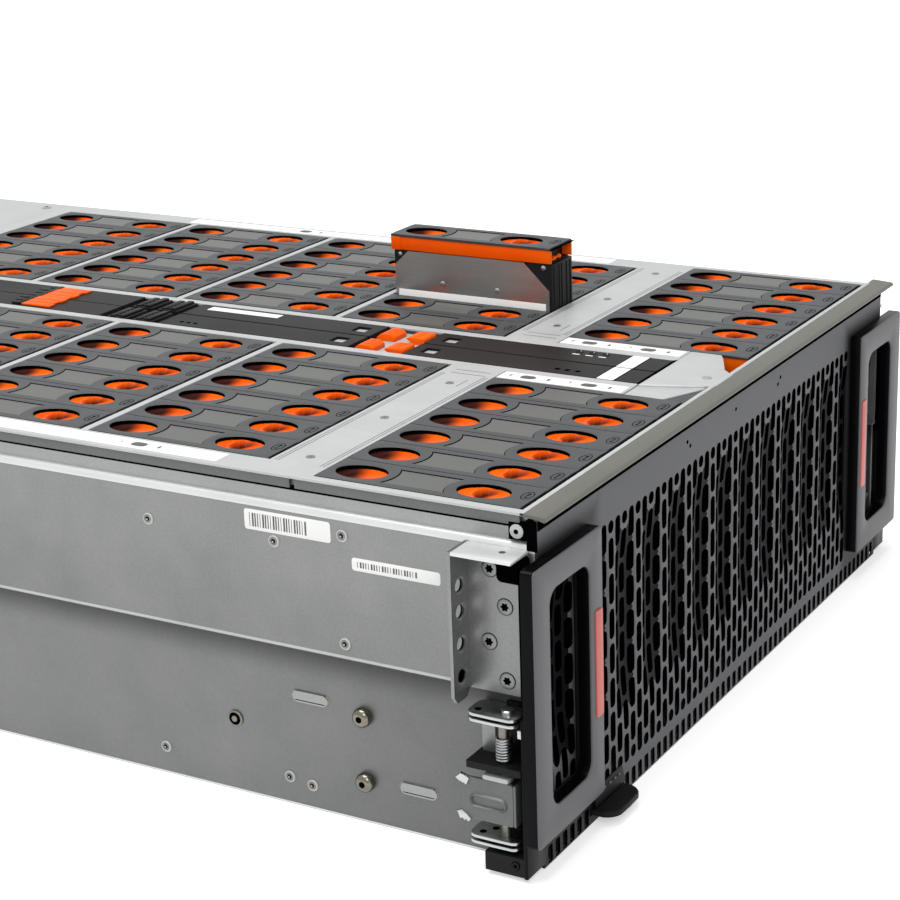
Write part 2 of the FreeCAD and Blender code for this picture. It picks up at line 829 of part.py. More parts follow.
def ejector_levers():
    """Four tabs that tip up from the open middle of the spine."""
    deck = SPINE_DECK
    low = f"{deck} + running_gap"
    for row, (edge, way) in {"front": ("deck_gap_front", 1), "rear": ("deck_gap_rear", -1)}.items():
        pivot = back(f"{edge} + {way} * ejector_pivot_in")
        heel = f"{pivot} - {way} * ejector_heel"
        tip = f"{heel} + {way} * ejector_length"
        profile = [
            (heel, low), (tip, low), (tip, f"{low} + ejector_tip"),
            (pivot, f"{low} + ejector_rise"), (heel, f"{low} + ejector_tip"),
        ]
        width = ("-ejector_seam - ejector_width", "-ejector_seam")
        left = extrude_x(f"left_{row}_ejector", [profile], *width)
        node(left, f"ejector_{row}_left")
        node(mirror(f"right_{row}_ejector", left), f"ejector_{row}_right")


def boards():
    """Backplanes under the two blocks with a socket bar for each row, and the midplane."""
    edge = f"({WALL} - 2 * gauge)"
    depth = (back("board_front"), back(ROWS_END))
    board = box("left_board", (f"-{edge}", "-rows_inner"), depth, (FLOOR_SEAT, BOARD_TOP))
    pieces = [board, mirror("right_board", board)]
    for row in range(1, ROWS + 1):
        inner = "row1_inner" if row == 1 else "rows_inner"
        front = f"{row_front(row)} + socket_back"
        bar = box(
            "left_sockets", (f"-({inner} + bays_in_block * bay_pitch)", f"-{inner}"),
            (back(front), back(f"{front} + socket_depth")), (BOARD_TOP, f"{DRIVE_BOTTOM} - running_gap"),
        )
        pieces += [bar, mirror("right_sockets", bar)]
    rear = "chassis_depth - bay_depth - 2 * running_gap"
    pieces.append(box(
        "midplane", both_signs(f"{WALL} - 3 * gauge"),
        (back(f"{rear} - board_gauge"), back(rear)), (FLOOR_SEAT, "ledge_height - gauge"),
    ))
    node(group("board_set", pieces), "backplanes")


def finger_wells():
    """Six-sided outlines of the two wells in a cap, in the carrier's own frame."""
    wells = []
    for middle in ("well_front", "cap_length - well_rear"):
        tip = "well_length / 2"
        flat = "well_length / 4"
        half = "well_width / 2"
        wells.append([
            (f"-{half}", f"{middle} - {flat}"), ("0", f"{middle} - {tip}"),
            (half, f"{middle} - {flat}"), (half, f"{middle} + {flat}"),
            ("0", f"{middle} + {tip}"), (f"-{half}", f"{middle} + {flat}"),
        ])
    return wells


def carrier_masters():
    """Pieces of one carrier, drawn with its front edge at Y = 0 and its middle at X = 0."""
    top = "chassis_height"
    under = "chassis_height - cap_plate"
    plate = rectangle(both_signs("cap_width / 2"), ("0", "cap_length"))
    lid = extrude_z("lid_master", [plate] + finger_wells(), under, top)

    arch = [
        ("0", DRIVE_TOP), ("cap_wall", DRIVE_TOP), ("cap_wall", under), ("cap_length - cap_wall", under),
        ("cap_length - cap_wall", DRIVE_TOP), ("cap_length", DRIVE_TOP), ("cap_length", top), ("0", top),
    ]
    cap = extrude_x("cap_master", [arch], "-cap_width / 2", "cap_width / 2")
    doc.recompute()
    drawing = sketch(cap, "cap_wells", "XY_Plane", top, finger_wells())
    doc.recompute()
    pocket_through(cap, "cap_well_cut", drawing)

    ends = ("cap_wall + running_gap", "cap_length - cap_wall - latch_travel - 2 * running_gap")
    half = both_signs("latch_width / 2")
    bar = box("bar_master", half, ends, (DRIVE_TOP, under))
    crown = f"{under} - running_gap"
    floor = f"{crown} - scoop_depth"
    base = f"{DRIVE_TOP} + running_gap"
    scooped = [(ends[0], base), (ends[1], base), (ends[1], crown)]
    for middle in ("(cap_length - well_rear)", "well_front"):
        scooped += [
            (f"{middle} + well_length / 4", crown), (f"{middle} + well_length / 4", floor),
            (f"{middle} - well_length / 2", crown),
        ]
    scooped.append((ends[0], crown))
    latch = extrude_x("latch_master", [scooped], *half)

    front = "(cap_length - drive_length) / 2"
    rear = f"{front} + drive_length"
    half = "drive_width / 2"
    drive = box("drive_master", both_signs(half), (front, rear), (DRIVE_BOTTOM, DRIVE_TOP))
    skirt = f"{DRIVE_TOP} - plate_height"
    shoulder = f"{DRIVE_TOP} - plate_chamfer"
    outline = [
        (front, skirt), (rear, skirt), (rear, shoulder), (f"{rear} - plate_chamfer", DRIVE_TOP),
        (f"{front} + plate_chamfer", DRIVE_TOP), (front, shoulder),
    ]
    side = extrude_x("plate_master", [outline], f"-{half} - plate_gauge", f"-{half}")
    return {"lid": lid, "cap": cap, "bar": bar, "latch": latch, "drive": drive, "plate": side}


def carriers():
    """Sixty carriers: the first row one node each, one drawn up, the rest in groups."""
    masters = carrier_masters()
    raised = (2, 1, 2)

    def stand(name, kinds, row, side, bay, z="0"):
        piece = group(name, [masters[kind] for kind in kinds])
        return place(piece, bay_centre(side, row, bay), back(row_front(row)), z)

    for word, side in SIDES.items():
        for bay in range(BAYS):
            name = f"carrier_{word}_{bay + 1}"
            node(stand(name, ("lid", "bar", "drive", "plate"), 1, side, bay), name)
    for kind in ("cap", "latch", "plate", "drive"):
        name = f"raised_{kind}"
        node(stand(name, (kind,), *raised, z="lift"), name)
    spots = [
        (row, side, bay)
        for row in range(2, ROWS + 1) for side in SIDES.values() for bay in range(BAYS)
        if (row, side, bay) != raised
    ]
    for kind, name in (("lid", "seated_caps"), ("bar", "seated_latches"), ("drive", "seated_drives")):
        node(group(name, [stand(f"{name}_one", (kind,), *spot) for spot in spots]), name)


def rear_end():
    """Rear wall with its cut-outs, the flat cover, fans, power supplies and modules."""
    edge = f"({WALL} - gauge - running_gap)"
    outline = rectangle(both_signs(edge), ("gauge", f"{UNDER_TOP} - gauge"))
    room = "2 * running_gap"
    bays = {
        "psu": ("psu_out", "psu_width", "psu_height", 1),
        "io_module": ("module_out", "module_width", "module_height", 3),
    }
    holes = []
    for kind, (out, width, height, ports) in bays.items():
        for word, side in SIDES.items():
            middle = f"{side} * {out}"
            holes.append(rectangle(
                (f"{middle} - {width} / 2 - {room}", f"{middle} + {width} / 2 + {room}"),
                (FLOOR_SEAT, f"{FLOOR_SEAT} + running_gap + {height} + {room}"),
            ))
            node(module(f"{kind}_{word}", middle, width, height, ports), f"{kind}_{word}")
    for fan in range(FANS):
        holes.append(regular(fan_middle(fan), "fan_low + fan_size / 2", "fan_bore / 2", FAN_SIDES))
    wall = extrude_y("rear_wall", [outline] + holes, back("chassis_depth - gauge"), back("chassis_depth"))
    node(wall, "rear_panel")
    depth = (back(f"{ROWS_END} + rear_bar"), back("chassis_depth"))
    node(box("cover", both_signs(HALF), depth, (UNDER_TOP, "chassis_height")), "rear_cover")
    fans()


def fan_middle(fan):
    """X of the middle of a fan."""
    return f"({fan - (FANS - 1) / 2}) * fan_pitch"


def regular(x, z, radius, count):
    """Corners of a regular outline about a middle."""
    turns = [2 * math.pi * (corner + 0.5) / count for corner in range(count)]
    return [
        (f"{x} + {radius} * {math.cos(turn):.6f}", f"{z} + {radius} * {math.sin(turn):.6f}")
        for turn in turns
    ]


def fans():
    """Square fans behind the rear wall, each with a motor plate and a bladed rotor."""
    square = rectangle(both_signs("fan_size / 2"), both_signs("fan_size / 2"))
    bore = regular("0", "0", "fan_bore / 2", FAN_SIDES)
    hub = regular("0", "0", "hub_radius", HUB_SIDES)
    frame = extrude_y("fan_frame_master", [square, bore], "-fan_depth", "0")
    strut = rectangle(both_signs("fan_bore / 2 + strut_root"), both_signs("motor_plate"))
    bars = extrude_y("fan_strut", [strut], "-motor_plate", "0")
    plate = extrude_y("fan_motor", [hub], "-motor_plate", "0")
    casing = fuse("fan_casing", [frame, bars, plate])

    far = "(-motor_plate - running_gap)"
    near = f"({far} - hub_depth)"
    rotor = extrude_y("rotor_master", [hub], near, far)
    doc.recompute()
    blade = [
        ("-blade_sweep", f"{near} + blade_inset"), ("blade_gauge - blade_sweep", f"{near} + blade_inset"),
        ("blade_sweep", f"{far} - blade_inset"), ("blade_sweep - blade_gauge", f"{far} - blade_inset"),
    ]
    drawing = sketch(rotor, "blade_section", "XY_Plane", "hub_radius - blade_root", [blade])
    first = pad(rotor, "blade", drawing, "blade_reach - hub_radius + blade_root")
    doc.recompute()
    ring = rotor.newObject("PartDesign::PolarPattern", "blades")
    ring.Originals = [first]
    ring.Axis = (origin_feature(rotor, "Y_Axis"), [""])
    ring.Angle = 360
    ring.Occurrences = BLADES
    rotor.Tip = ring

    casings = []
    for fan in range(FANS):
        spot = (fan_middle(fan), back("chassis_depth - gauge"), "fan_low + fan_size / 2")
        casings.append(place(group("fan_casing_one", [casing]), *spot))
        node(place(group(f"rotor_{fan + 1}", [rotor]), *spot), f"fan_rotor_{fan + 1}")
    node(group("fan_set", casings), "fan_frames")


def module(name, x, width, height, ports):
    """A plug-in case with port recesses in its rear face and a bail to pull it by."""
    low = f"({FLOOR_SEAT} + running_gap)"
    rear = back("chassis_depth")
    case = box(
        f"{name}_case", (f"{x} - {width} / 2", f"{x} + {width} / 2"),
        (back("chassis_depth - bay_depth"), rear), (low, f"{low} + {height}"),
    )
    recesses = []
    for port in range(ports):
        middle = f"{x} + ({port - (ports - 1) / 2}) * (port_width + port_gap)"
        recesses.append(box(
            f"{name}_port", (f"{middle} - port_width / 2", f"{middle} + port_width / 2"),
            (f"{rear} - port_depth", f"{rear} + port_depth"),
            (f"{low} + port_low", f"{low} + port_low + port_height"),
        ))
    body = cut(f"{name}_body", case, recesses)
    left = f"{x} - bail_width / 2"
    right = f"{x} + bail_width / 2"
    reach = f"{rear} + rear_reach"
    bail = [
        (left, rear), (f"{left} + bail_bar", rear), (f"{left} + bail_bar", f"{reach} - bail_bar"),
        (f"{right} - bail_bar", f"{reach} - bail_bar"), (f"{right} - bail_bar", rear), (right, rear),
        (right, reach), (left, reach),
    ]
    top = f"{low} + {height} - bail_drop"
    loop = extrude_z(f"{name}_bail", [bail], f"{top} - bail_bar", top)
    return group(name, [body, loop])


def check_and_write():
    """Recomputes, stops on any failed object or bad shape, and writes one file per node."""
    doc.recompute()
    failed = [item.Name for item in doc.Objects if {"Invalid", "Error"} & set(item.State)]
    bad = [item.Label for item in nodes if item.Shape.isNull() or not item.Shape.isValid()]
    if failed or bad:
        raise RuntimeError(f"failed objects {failed}, bad shapes {bad}")
    os.makedirs("parts", exist_ok=True)
    for item in nodes:
        item.Shape.exportStep(f"parts/{item.Label}.step")
    print(len(nodes), "nodes written")


chassis_tray()
side_skins()
top_rails()
front_panel()
inner_grilles()
front_lip()
bezel_handles()
ear_brackets()
rack_latches()
service_tag()
shoulder_studs()
crossbars()
bay_dividers()
spine()
ejector_levers()
boards()
carriers()
rear_end()
check_and_write()
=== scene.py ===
"""Looks of the storage server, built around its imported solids: metres, in the solids' own frame."""
import math

import bmesh
import bpy
from mathutils import Matrix, Vector


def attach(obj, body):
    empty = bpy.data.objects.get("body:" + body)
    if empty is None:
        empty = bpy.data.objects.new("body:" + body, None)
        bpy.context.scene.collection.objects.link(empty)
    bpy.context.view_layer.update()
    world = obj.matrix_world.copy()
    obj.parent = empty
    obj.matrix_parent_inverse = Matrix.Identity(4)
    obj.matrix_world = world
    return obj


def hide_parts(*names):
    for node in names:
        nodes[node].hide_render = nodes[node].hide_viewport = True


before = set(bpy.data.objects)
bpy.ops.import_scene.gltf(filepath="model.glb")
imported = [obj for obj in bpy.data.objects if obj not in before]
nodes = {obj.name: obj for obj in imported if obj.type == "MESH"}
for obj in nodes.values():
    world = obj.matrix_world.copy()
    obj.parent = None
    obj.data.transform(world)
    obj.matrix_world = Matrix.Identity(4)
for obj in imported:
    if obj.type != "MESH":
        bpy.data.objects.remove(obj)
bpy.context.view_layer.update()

MM = 0.001
TINY = 0.01
SHARP = math.radians(34)
QUARTER = math.pi / 2
SIDES = (("left", -1), ("right", 1))


# Finishes

DRIFT_SIZE = 45
DRIFT_ENDS = (0.3, 0.7)
DRIFT_GLOSS = 0.06
PIT_DEPTH = 0.1
CLOUD_SIZE = 30
CLOUD_ENDS = (0.32, 0.68)
CLOUD_GLOSS = 0.05
STREAK_DEPTH = 0.05


def linear(code):
    """An sRGB hex colour as the linear colour that shaders take."""
    shares = [int(code[i:i + 2], 16) / 255 for i in (1, 3, 5)]
    return (*[s / 12.92 if s <= 0.04045 else ((s + 0.055) / 1.055) ** 2.4 for s in shares], 1.0)


def per_mm(size):
    """The scale of a noise whose features are about this many millimetres wide."""
    return 1.0 / (size * MM)


def add_node(tree, kind, values=None, links=None, **settings):
    """Adds a node with its settings, socket values and incoming links."""
    node = tree.nodes.new(kind)
    for name, value in settings.items():
        setattr(node, name, value)
    for name, value in (values or {}).items():
        node.inputs[name].default_value = value
    for name, source in (links or {}).items():
        tree.links.new(source, node.inputs[name])
    return node


def reckoned(tree, operation, *terms):
    """The result of one step of arithmetic on sockets and plain numbers."""
    values = {place: term for place, term in enumerate(terms) if isinstance(term, float)}
    links = {place: term for place, term in enumerate(terms) if place not in values}
    return add_node(tree, "ShaderNodeMath", values, links, operation=operation).outputs["Value"]


def speckle(tree, place, size, detail):
    """A noise with features about so many millimetres wide."""
    values = {"Scale": per_mm(size), "Detail": detail}
    return add_node(tree, "ShaderNodeTexNoise", values, {"Vector": place}).outputs["Fac"]


def toned(tree, share, dark, light, ends):
    """A colour that runs from a dark tone to a light one between the ends of a share."""
    ramp = add_node(tree, "ShaderNodeValToRGB", links={"Fac": share})
    for stop, position, code in zip(ramp.color_ramp.elements, ends, (dark, light)):
        stop.position = position
        stop.color = linear(code)
    return ramp.outputs["Color"]


def start_finish(name, **constants):
    """A new material with its shader's constant sockets set, and the piece's own coordinates."""
    finish = bpy.data.materials.new(name)
    finish.use_nodes = True
    tree = finish.node_tree
    shader = tree.nodes["Principled BSDF"]
    for socket, value in constants.items():
        shader.inputs[socket.replace("_", " ")].default_value = value
    place = add_node(tree, "ShaderNodeTexCoord").outputs["Object"]
    return finish, tree, shader, place


def shaded(tree, colour, place, share, *zones):
    """Paints shade: takes a colour down to a share of itself where all zones are dark: an axis, its dark and
    clear ends.
    """
    axes = add_node(tree, "ShaderNodeSeparateXYZ", links={"Vector": place})
    clear = None
    for axis, dark_at, clear_at in zones:
        zone = add_node(
            tree, "ShaderNodeMapRange", {"From Min": dark_at * MM, "From Max": clear_at * MM, "To Min": share},
            {"Value": reckoned(tree, "ABSOLUTE", axes.outputs[axis])},
            interpolation_type="SMOOTHSTEP").outputs["Result"]
        clear = reckoned(tree, "MAXIMUM", clear, zone) if clear else zone
    taken_down = add_node(tree, "ShaderNodeVectorMath", links={0: colour, "Scale": clear}, operation="SCALE")
    return taken_down.outputs["Vector"]


def join_up(tree, shader, colour, drift, roughness, spread, grain, relief, depth):
    """Gives a shader its colour, a gloss that drifts about a roughness, and a fine relief."""
    around = {"To Min": roughness - spread, "To Max": roughness + spread}
    gloss = add_node(tree, "ShaderNodeMapRange", around, {"Value": drift})
    bump = add_node(tree, "ShaderNodeBump", {"Strength": relief, "Distance": depth * MM}, {"Height": grain})
    # Painted light: a shader given some emission strength glows faintly in its own colour.
    if shader.inputs["Emission Strength"].default_value:
        tree.links.new(colour, shader.inputs["Emission Color"])
    tree.links.new(colour, shader.inputs["Base Color"])
    tree.links.new(gloss.outputs["Result"], shader.inputs["Roughness"])
    tree.links.new(bump.outputs["Normal"], shader.inputs["Normal"])


def moulded(name, dark, light, roughness, grain, relief, deep=None, shades=(), **constants):
    """Moulded plastic or paint: a fine grain, a slow drift of tone and gloss, a colour painted as shade in deep
    places.
    """
    finish, tree, shader, place = start_finish(name, **constants)
    drift = speckle(tree, place, DRIFT_SIZE, 4.0)
    colour = toned(tree, drift, dark, light, DRIFT_ENDS)
    if deep:
        # Painted shade: the mesh's depth attribute blends the colour towards the deep one.
        depth = add_node(tree, "ShaderNodeAttribute", attribute_name="depth").outputs["Fac"]
        colour = add_node(
            tree, "ShaderNodeMix", {7: linear(deep)}, {0: depth, 6: colour}, data_type="RGBA").outputs[2]
    for share, *zones in shades:
        colour = shaded(tree, colour, place, share, *zones)
    pits = speckle(tree, place, grain, 2.0)
    join_up(tree, shader, colour, drift, roughness, DRIFT_GLOSS, pits, relief, PIT_DEPTH)
    return finish


def rolled(name, dark, light, roughness, streak, relief, metal=1.0, run=40.0, shades=()):
    """Rolled sheet metal: fine streaks as wide and as long as asked for, with a faint cloud of tone."""
    finish, tree, shader, place = start_finish(name, Metallic=metal)
    stretched = add_node(
        tree, "ShaderNodeMapping", {"Scale": (per_mm(streak), per_mm(run), per_mm(streak))}, {"Vector": place})
    streaks = add_node(
        tree, "ShaderNodeTexNoise", {"Scale": 1.0, "Detail": 3.0},
        {"Vector": stretched.outputs["Vector"]}).outputs["Fac"]
    half_streaks = reckoned(tree, "MULTIPLY", streaks, 0.5)
    drift = reckoned(tree, "MULTIPLY_ADD", speckle(tree, place, CLOUD_SIZE, 5.0), 0.5, half_streaks)
    colour = toned(tree, drift, dark, light, CLOUD_ENDS)
    for share, *zones in shades:
        colour = shaded(tree, colour, place, share, *zones)
    join_up(tree, shader, colour, drift, roughness, CLOUD_GLOSS, streaks, relief, STREAK_DEPTH)
    return finish


# Zinc-coated sheet: satin grey with a fine even speckle, on the upper skins and the rack ears.
zinc_sheet = rolled("zinc_coated_sheet", "#7B7D7C", "#8A8B8A", 0.42, 1.3, 0.06, 0.7, 1.3)
# The same sheet on the recessed lower walls, with painted shade: darker just under the ledge that hangs over
# it, as its shadow, and darker towards the front and rear ends.
wall_sheet = rolled("zinc_coated_sheet_lower", "#6D6F6E", "#797A79", 0.42, 1.3, 0.06, 0.7, 1.3,
                    ((0.3, (2, 88.0, 68.0)), (0.72, (1, 430.0, 250.0))))
# The same sheet painted a step darker as shade, where little light comes: on rail skirts, latch levers and the
# tops of louvres.
shaded_sheet = rolled("zinc_coated_sheet_shaded", "#5C5E5D", "#686A69", 0.46, 1.3, 0.06, 0.6, 1.3)
# The same sheet painted nearly white as a highlight along folds, edges and flaps that face the ceiling light.
highlight_sheet = rolled("zinc_coated_sheet_highlight", "#D4D6D6", "#DEE0E0", 0.40, 1.2, 0.05, 0.4)
# The same sheet painted paler as lit by the ceiling light, on top and on small bright edges and glints: it
# reads near white.
lit_sheet = rolled("zinc_coated_sheet_lit", "#B2B4B4", "#BEC0C0", 0.46, 1.2, 0.05, 0.2)
# The same sheet on louvres and on the skins under the top rails: a step paler than the walls, painted light
# that lifts them out of shade.
louvre_sheet = rolled("zinc_coated_sheet_louvre", "#8E908F", "#9A9C9B", 0.40, 1.3, 0.06, 0.6, 1.3)
# Bright zinc on stamped hardware: clean small highlights on brackets, screws and rivets.
bright_zinc = rolled("bright_zinc_plate", "#A3A6A7", "#BABCBC", 0.28, 1.0, 0.06)
# Bare steel of the carriers' side plates: a dim mirror that takes up the caps and the orange below it.
bare_steel = rolled("bare_steel", "#A6A5A3", "#B4B3B0", 0.30, 0.8, 0.02)
# Polished dark steel of the shoulder studs: deep warm reflections with sharp highlights.
stud_steel = rolled("polished_stud_steel", "#6A665C", "#7D786C", 0.16, 0.8, 0.02)
# Darkened steel on socket screws and pins: a warm dull metal that stands out on the zinc.
dull_steel = rolled("dull_steel", "#6C6A64", "#85827A", 0.38, 0.8, 0.10)
# Moulded ABS of the carrier caps: dark grey, an even eroded grain, a soft broad sheen.
cap_abs = moulded("cap_abs", "#313335", "#373A3C", 0.50, 1.6, 0.35)
# Satin label film in the cap's window: a step paler and smoother than the cap.
window_film = moulded("window_film", "#474845", "#4E4F4B", 0.36, 3.0, 0.10)
# Acetal latches: saturated orange, satin; a faint painted glow stands in for the little light let through, and
# painted shade turns them burnt red deep under the wells.
latch_acetal = moulded("latch_acetal", "#F45400", "#FA6400", 0.42, 2.2, 0.12, "#2E0700",
                       Specular_IOR_Level=0.1, Emission_Strength=0.06)
# Powder coat on the mesh behind the handles: charcoal, its fine orange peel breaks up the highlights.
charcoal_coat = moulded("charcoal_powder_coat", "#505154", "#58595C", 0.50, 1.4, 0.30)
# The same coat on the front panel, a step paler, with painted shade that takes it near black beside the
# handles.
panel_coat = moulded("charcoal_panel_coat", "#58595C", "#606164", 0.50, 1.4, 0.30,
                     shades=((0.05, (0, 172.0, 158.0), (2, 156.0, 167.5)),), Specular_IOR_Level=0.22)
# Painted shade: matte black on inner faces that hardly any light reaches.
inner_black = moulded("inner_black", "#030304", "#060607", 0.66, 1.4, 0.20, Specular_IOR_Level=0.0)
# The coat inside the flutes, painted nearly black as shade: the webs only just show.
flute_shade_coat = moulded("flute_shade_coat", "#0A0A0B", "#0F0F10", 0.50, 1.4, 0.30, Specular_IOR_Level=0.06)
# Handle mouldings: grey ABS with a fine grain, a little paler where the face catches light.
handle_abs = moulded("handle_abs", "#4E4E51", "#555558", 0.48, 1.4, 0.25)
# Polished black edges of the mouldings: near black with sharp long highlights.
black_gloss = moulded("black_gloss_abs", "#040405", "#070708", 0.28, 4.0, 0.05, Specular_IOR_Level=0.07)
# Plain black ABS: matte dark trim, connectors, blocks.
black_abs = moulded("black_abs", "#0C0C0D", "#111112", 0.50, 1.2, 0.25, Specular_IOR_Level=0.15)
# Red acrylic strip in each handle: salmon red, smooth.
red_strip = moulded("red_strip", "#C4564F", "#D2645C", 0.36, 4.0, 0.05)
# Satin paint on the front lip: grey with a touch of olive.
lip_paint = moulded("lip_paint", "#57574F", "#605F58", 0.44, 1.2, 0.20)
# Spine covers: dark warm grey moulding, semi-matte.
cover_abs = moulded("cover_abs", "#0F0C0B", "#141110", 0.44, 1.6, 0.25, Specular_IOR_Level=0.10)
# Blank paper labels: flat white; the same white is painted on the step along each tray's side plate as its
# highlight.
label_paper = moulded("label_paper", "#EFEFEC", "#F6F6F4", 0.62, 0.8, 0.10)
# Printed marks: plain grey ink.
grey_ink = moulded("grey_ink", "#4A4A4A", "#555555", 0.60, 0.8, 0.05)
# Cast aluminium of the drives: light grey, slightly rough from the die.
drive_cast = rolled("drive_casting", "#8E9092", "#9C9EA0", 0.46, 0.7, 0.20)
# Solder mask on boards: deep green gloss.
board_mask = moulded("solder_mask", "#0F3A20", "#144828", 0.32, 2.0, 0.10)
# Clear green lens of the status lamps: smooth, bright for its size.
lamp_lens = moulded("lamp_lens", "#1E8A3C", "#2FA552", 0.22, 3.0, 0.05)
# Anodised cases of the rear modules: mid grey satin metal.
module_case = rolled("module_case", "#9A9D9F", "#A8ABAD", 0.36, 0.9, 0.10)


# Shapes, in millimetres in the solids' frame

ROUNDING_STEPS = 2
LOBE_SHARE = 0.2
SLACK = 0.0001


def at(x, y, z):
    return Matrix.Translation((x, y, z))


def facing_front(x, y, z):
    """A place whose own X and Y run along X and Z, for a shape seen from the front."""
    return at(x, y, z) @ Matrix.Rotation(QUARTER, 4, "X")


def facing_rear(x, y, z):
    """A place whose own X and Y run along -X and Z, for a shape seen from the rear."""
    return at(x, y, z) @ Matrix.Rotation(math.pi, 4, "Z") @ Matrix.Rotation(QUARTER, 4, "X")


def facing_left(x, y, z):
    """A place whose own X and Y run along -Y and Z, for a shape seen from the left side."""
    return at(x, y, z) @ Matrix.Rotation(-QUARTER, 4, "Z") @ Matrix.Rotation(QUARTER, 4, "X")


def edges_of(verts):
    return list({edge for vert in verts for edge in vert.link_edges})


def paint(verts, finish):
    for face in {face for vert in verts for face in vert.link_faces}:
        face.material_index = finish


def soften(shape, edges, offset):
    """Rounds edges in a few steps."""
    bmesh.ops.bevel(
        shape, geom=edges, offset=offset, offset_type="OFFSET", segments=ROUNDING_STEPS, profile=0.5,
        affect="EDGES", material=-1, clamp_overlap=True)


def block(shape, low, high, soft=0.0, finish=0, turn=None):
    """A box between two corners with its edges rounded."""
    size = [b - a for a, b in zip(low, high)]
    middle = [(a + b) / 2 for a, b in zip(low, high)]
    place = at(*middle) @ (turn or Matrix()) @ Matrix.Diagonal((*size, 1.0))
    made = bmesh.ops.create_cube(shape, size=1.0, matrix=place)["verts"]
    paint(made, finish)
    if soft:
        soften(shape, edges_of(made), soft)


def side_block(shape, sign, inner, outer, front, rear, low, high, soft=0.0):
    """A box on one side of the middle, between two distances from it."""
    near, far = sorted((sign * inner, sign * outer))
    block(shape, (near, front, low), (far, rear, high), soft)


def rod(shape, start, end, radius, sides=16, soft=0.0, finish=0):
    """A round bar between two points, with the edges of its ends rounded."""
    axis = Vector(end) - Vector(start)
    middle = Matrix.Translation((Vector(start) + Vector(end)) / 2)
    made = bmesh.ops.create_cone(
        shape, cap_ends=True, segments=sides, radius1=radius, radius2=radius, depth=axis.length,
        matrix=middle @ axis.to_track_quat("Z", "Y").to_matrix().to_4x4())["verts"]
    paint(made, finish)
    if soft:
        soften(shape, [edge for edge in edges_of(made)
                       if any(len(face.verts) == sides for face in edge.link_faces)], soft)


def ring(shape, place, width, length, corner=None, sides=24, lobes=0):
    """A closed loop of edges in a place's plane: an ellipse, a star, or a rectangle with round corners."""
    made = bmesh.ops.create_circle(shape, segments=sides, radius=1.0)["verts"]
    for vert in made:
        c, s = vert.co.x, vert.co.y
        if corner is None:
            swell = 1 + LOBE_SHARE * math.cos(lobes * math.atan2(s, c)) if lobes else 1
            vert.co = (c * swell * width / 2, s * swell * length / 2, 0)
        elif corner == 0:
            eighth = math.atan2(s, c) / (math.pi / 4)
            far = math.copysign(4, eighth) - eighth
            if abs(eighth) <= 1 + SLACK:
                vert.co = (width / 2, length / 2 * eighth, 0)
            elif abs(eighth) >= 3 - SLACK:
                vert.co = (-width / 2, length / 2 * far, 0)
            else:
                vert.co = (width / 2 * (2 - abs(eighth)), math.copysign(length / 2, eighth), 0)
        else:
            flat_x = math.copysign(width / 2 - corner, c) if abs(c) > TINY else 0
            flat_y = math.copysign(length / 2 - corner, s) if abs(s) > TINY else 0
            vert.co = (flat_x + corner * c, flat_y + corner * s, 0)
    bmesh.ops.transform(shape, matrix=place, verts=made)
    return edges_of(made)


def loft(shape, rings, finish=0, ends=()):
    """Skins each loop to the next, and lays a face over the loops that are named as ends."""
    for near, far in zip(rings, rings[1:]):
        for face in bmesh.ops.bridge_loops(shape, edges=near + far)["faces"]:
            face.material_index = finish
    for end in ends:
        for face in bmesh.ops.contextual_create(shape, geom=rings[end])["faces"]:
            face.material_index = finish


def turned(shape, place, steps, sides=20, finish=0):
    """A round solid on a place: each step gives a radius and a height over it."""
    loft(shape, [ring(shape, place @ at(0, 0, lift), 2 * radius, 2 * radius, sides=sides)
                 for radius, lift in steps], finish, (0, -1))


def disc(shape, place, radius, thick, sides=20, finish=0):
    """A flat round disc on a place."""
    turned(shape, place, ((radius, 0), (radius, thick)), sides, finish)


def rims(shape, place, width, length, corner, steps, sides=24):
    """Loops with round corners over a place: each step gives a height and an inset."""
    return [ring(shape, place @ at(0, 0, lift), width - 2 * inset, length - 2 * inset, corner, sides)
            for lift, inset in steps]


def plate(shape, place, width, length, corner, thick, soft=0.2, finish=0):
    """A flat plate with round corners on a place, its upper edge rounded."""
    steps = ((0, 0), (thick - soft, 0), (thick - 0.3 * soft, 0.3 * soft), (thick, soft))
    loft(shape, rims(shape, place, width, length, corner, steps), finish, (0, -1))


def sweep(shape, outline, place, reach, finish=0, rim=None, soft=0.0):
    """A flat outline of a few corners in a place's plane, pushed along the place's own Z."""
    corners = [shape.verts.new(place @ Vector((u, v, 0))) for u, v in outline]
    face = shape.faces.new(corners)
    pushed = bmesh.ops.extrude_face_region(shape, geom=[face])["geom"]
    moved = [item for item in pushed if isinstance(item, bmesh.types.BMVert)]
    bmesh.ops.translate(shape, vec=place.to_3x3() @ Vector((0, 0, reach)), verts=moved)
    paint(corners + moved, finish)
    if rim is not None:
        for side in {side for vert in corners for side in vert.link_faces if side is not face}:
            side.material_index = rim
    if soft:
        soften(shape, edges_of(corners + moved), soft)


def star_screw(shape, place, radius):
    """A flat screw head in a groove painted dark as shade, with a star socket painted dark too; the second
    finish is the dark one.
    """
    disc(shape, place, radius + 0.4, 0.08, 24, 1)
    head = [ring(shape, place @ at(0, 0, lift), 2 * size, 2 * size)
            for size, lift in ((radius, 0.05), (radius, 0.35), (0.9 * radius, 0.6))]
    socket = [ring(shape, place @ at(0, 0, lift), radius, radius, lobes=6) for lift in (0.6, 0.1)]
    loft(shape, head + socket[:1])
    loft(shape, socket, 1, (-1,))


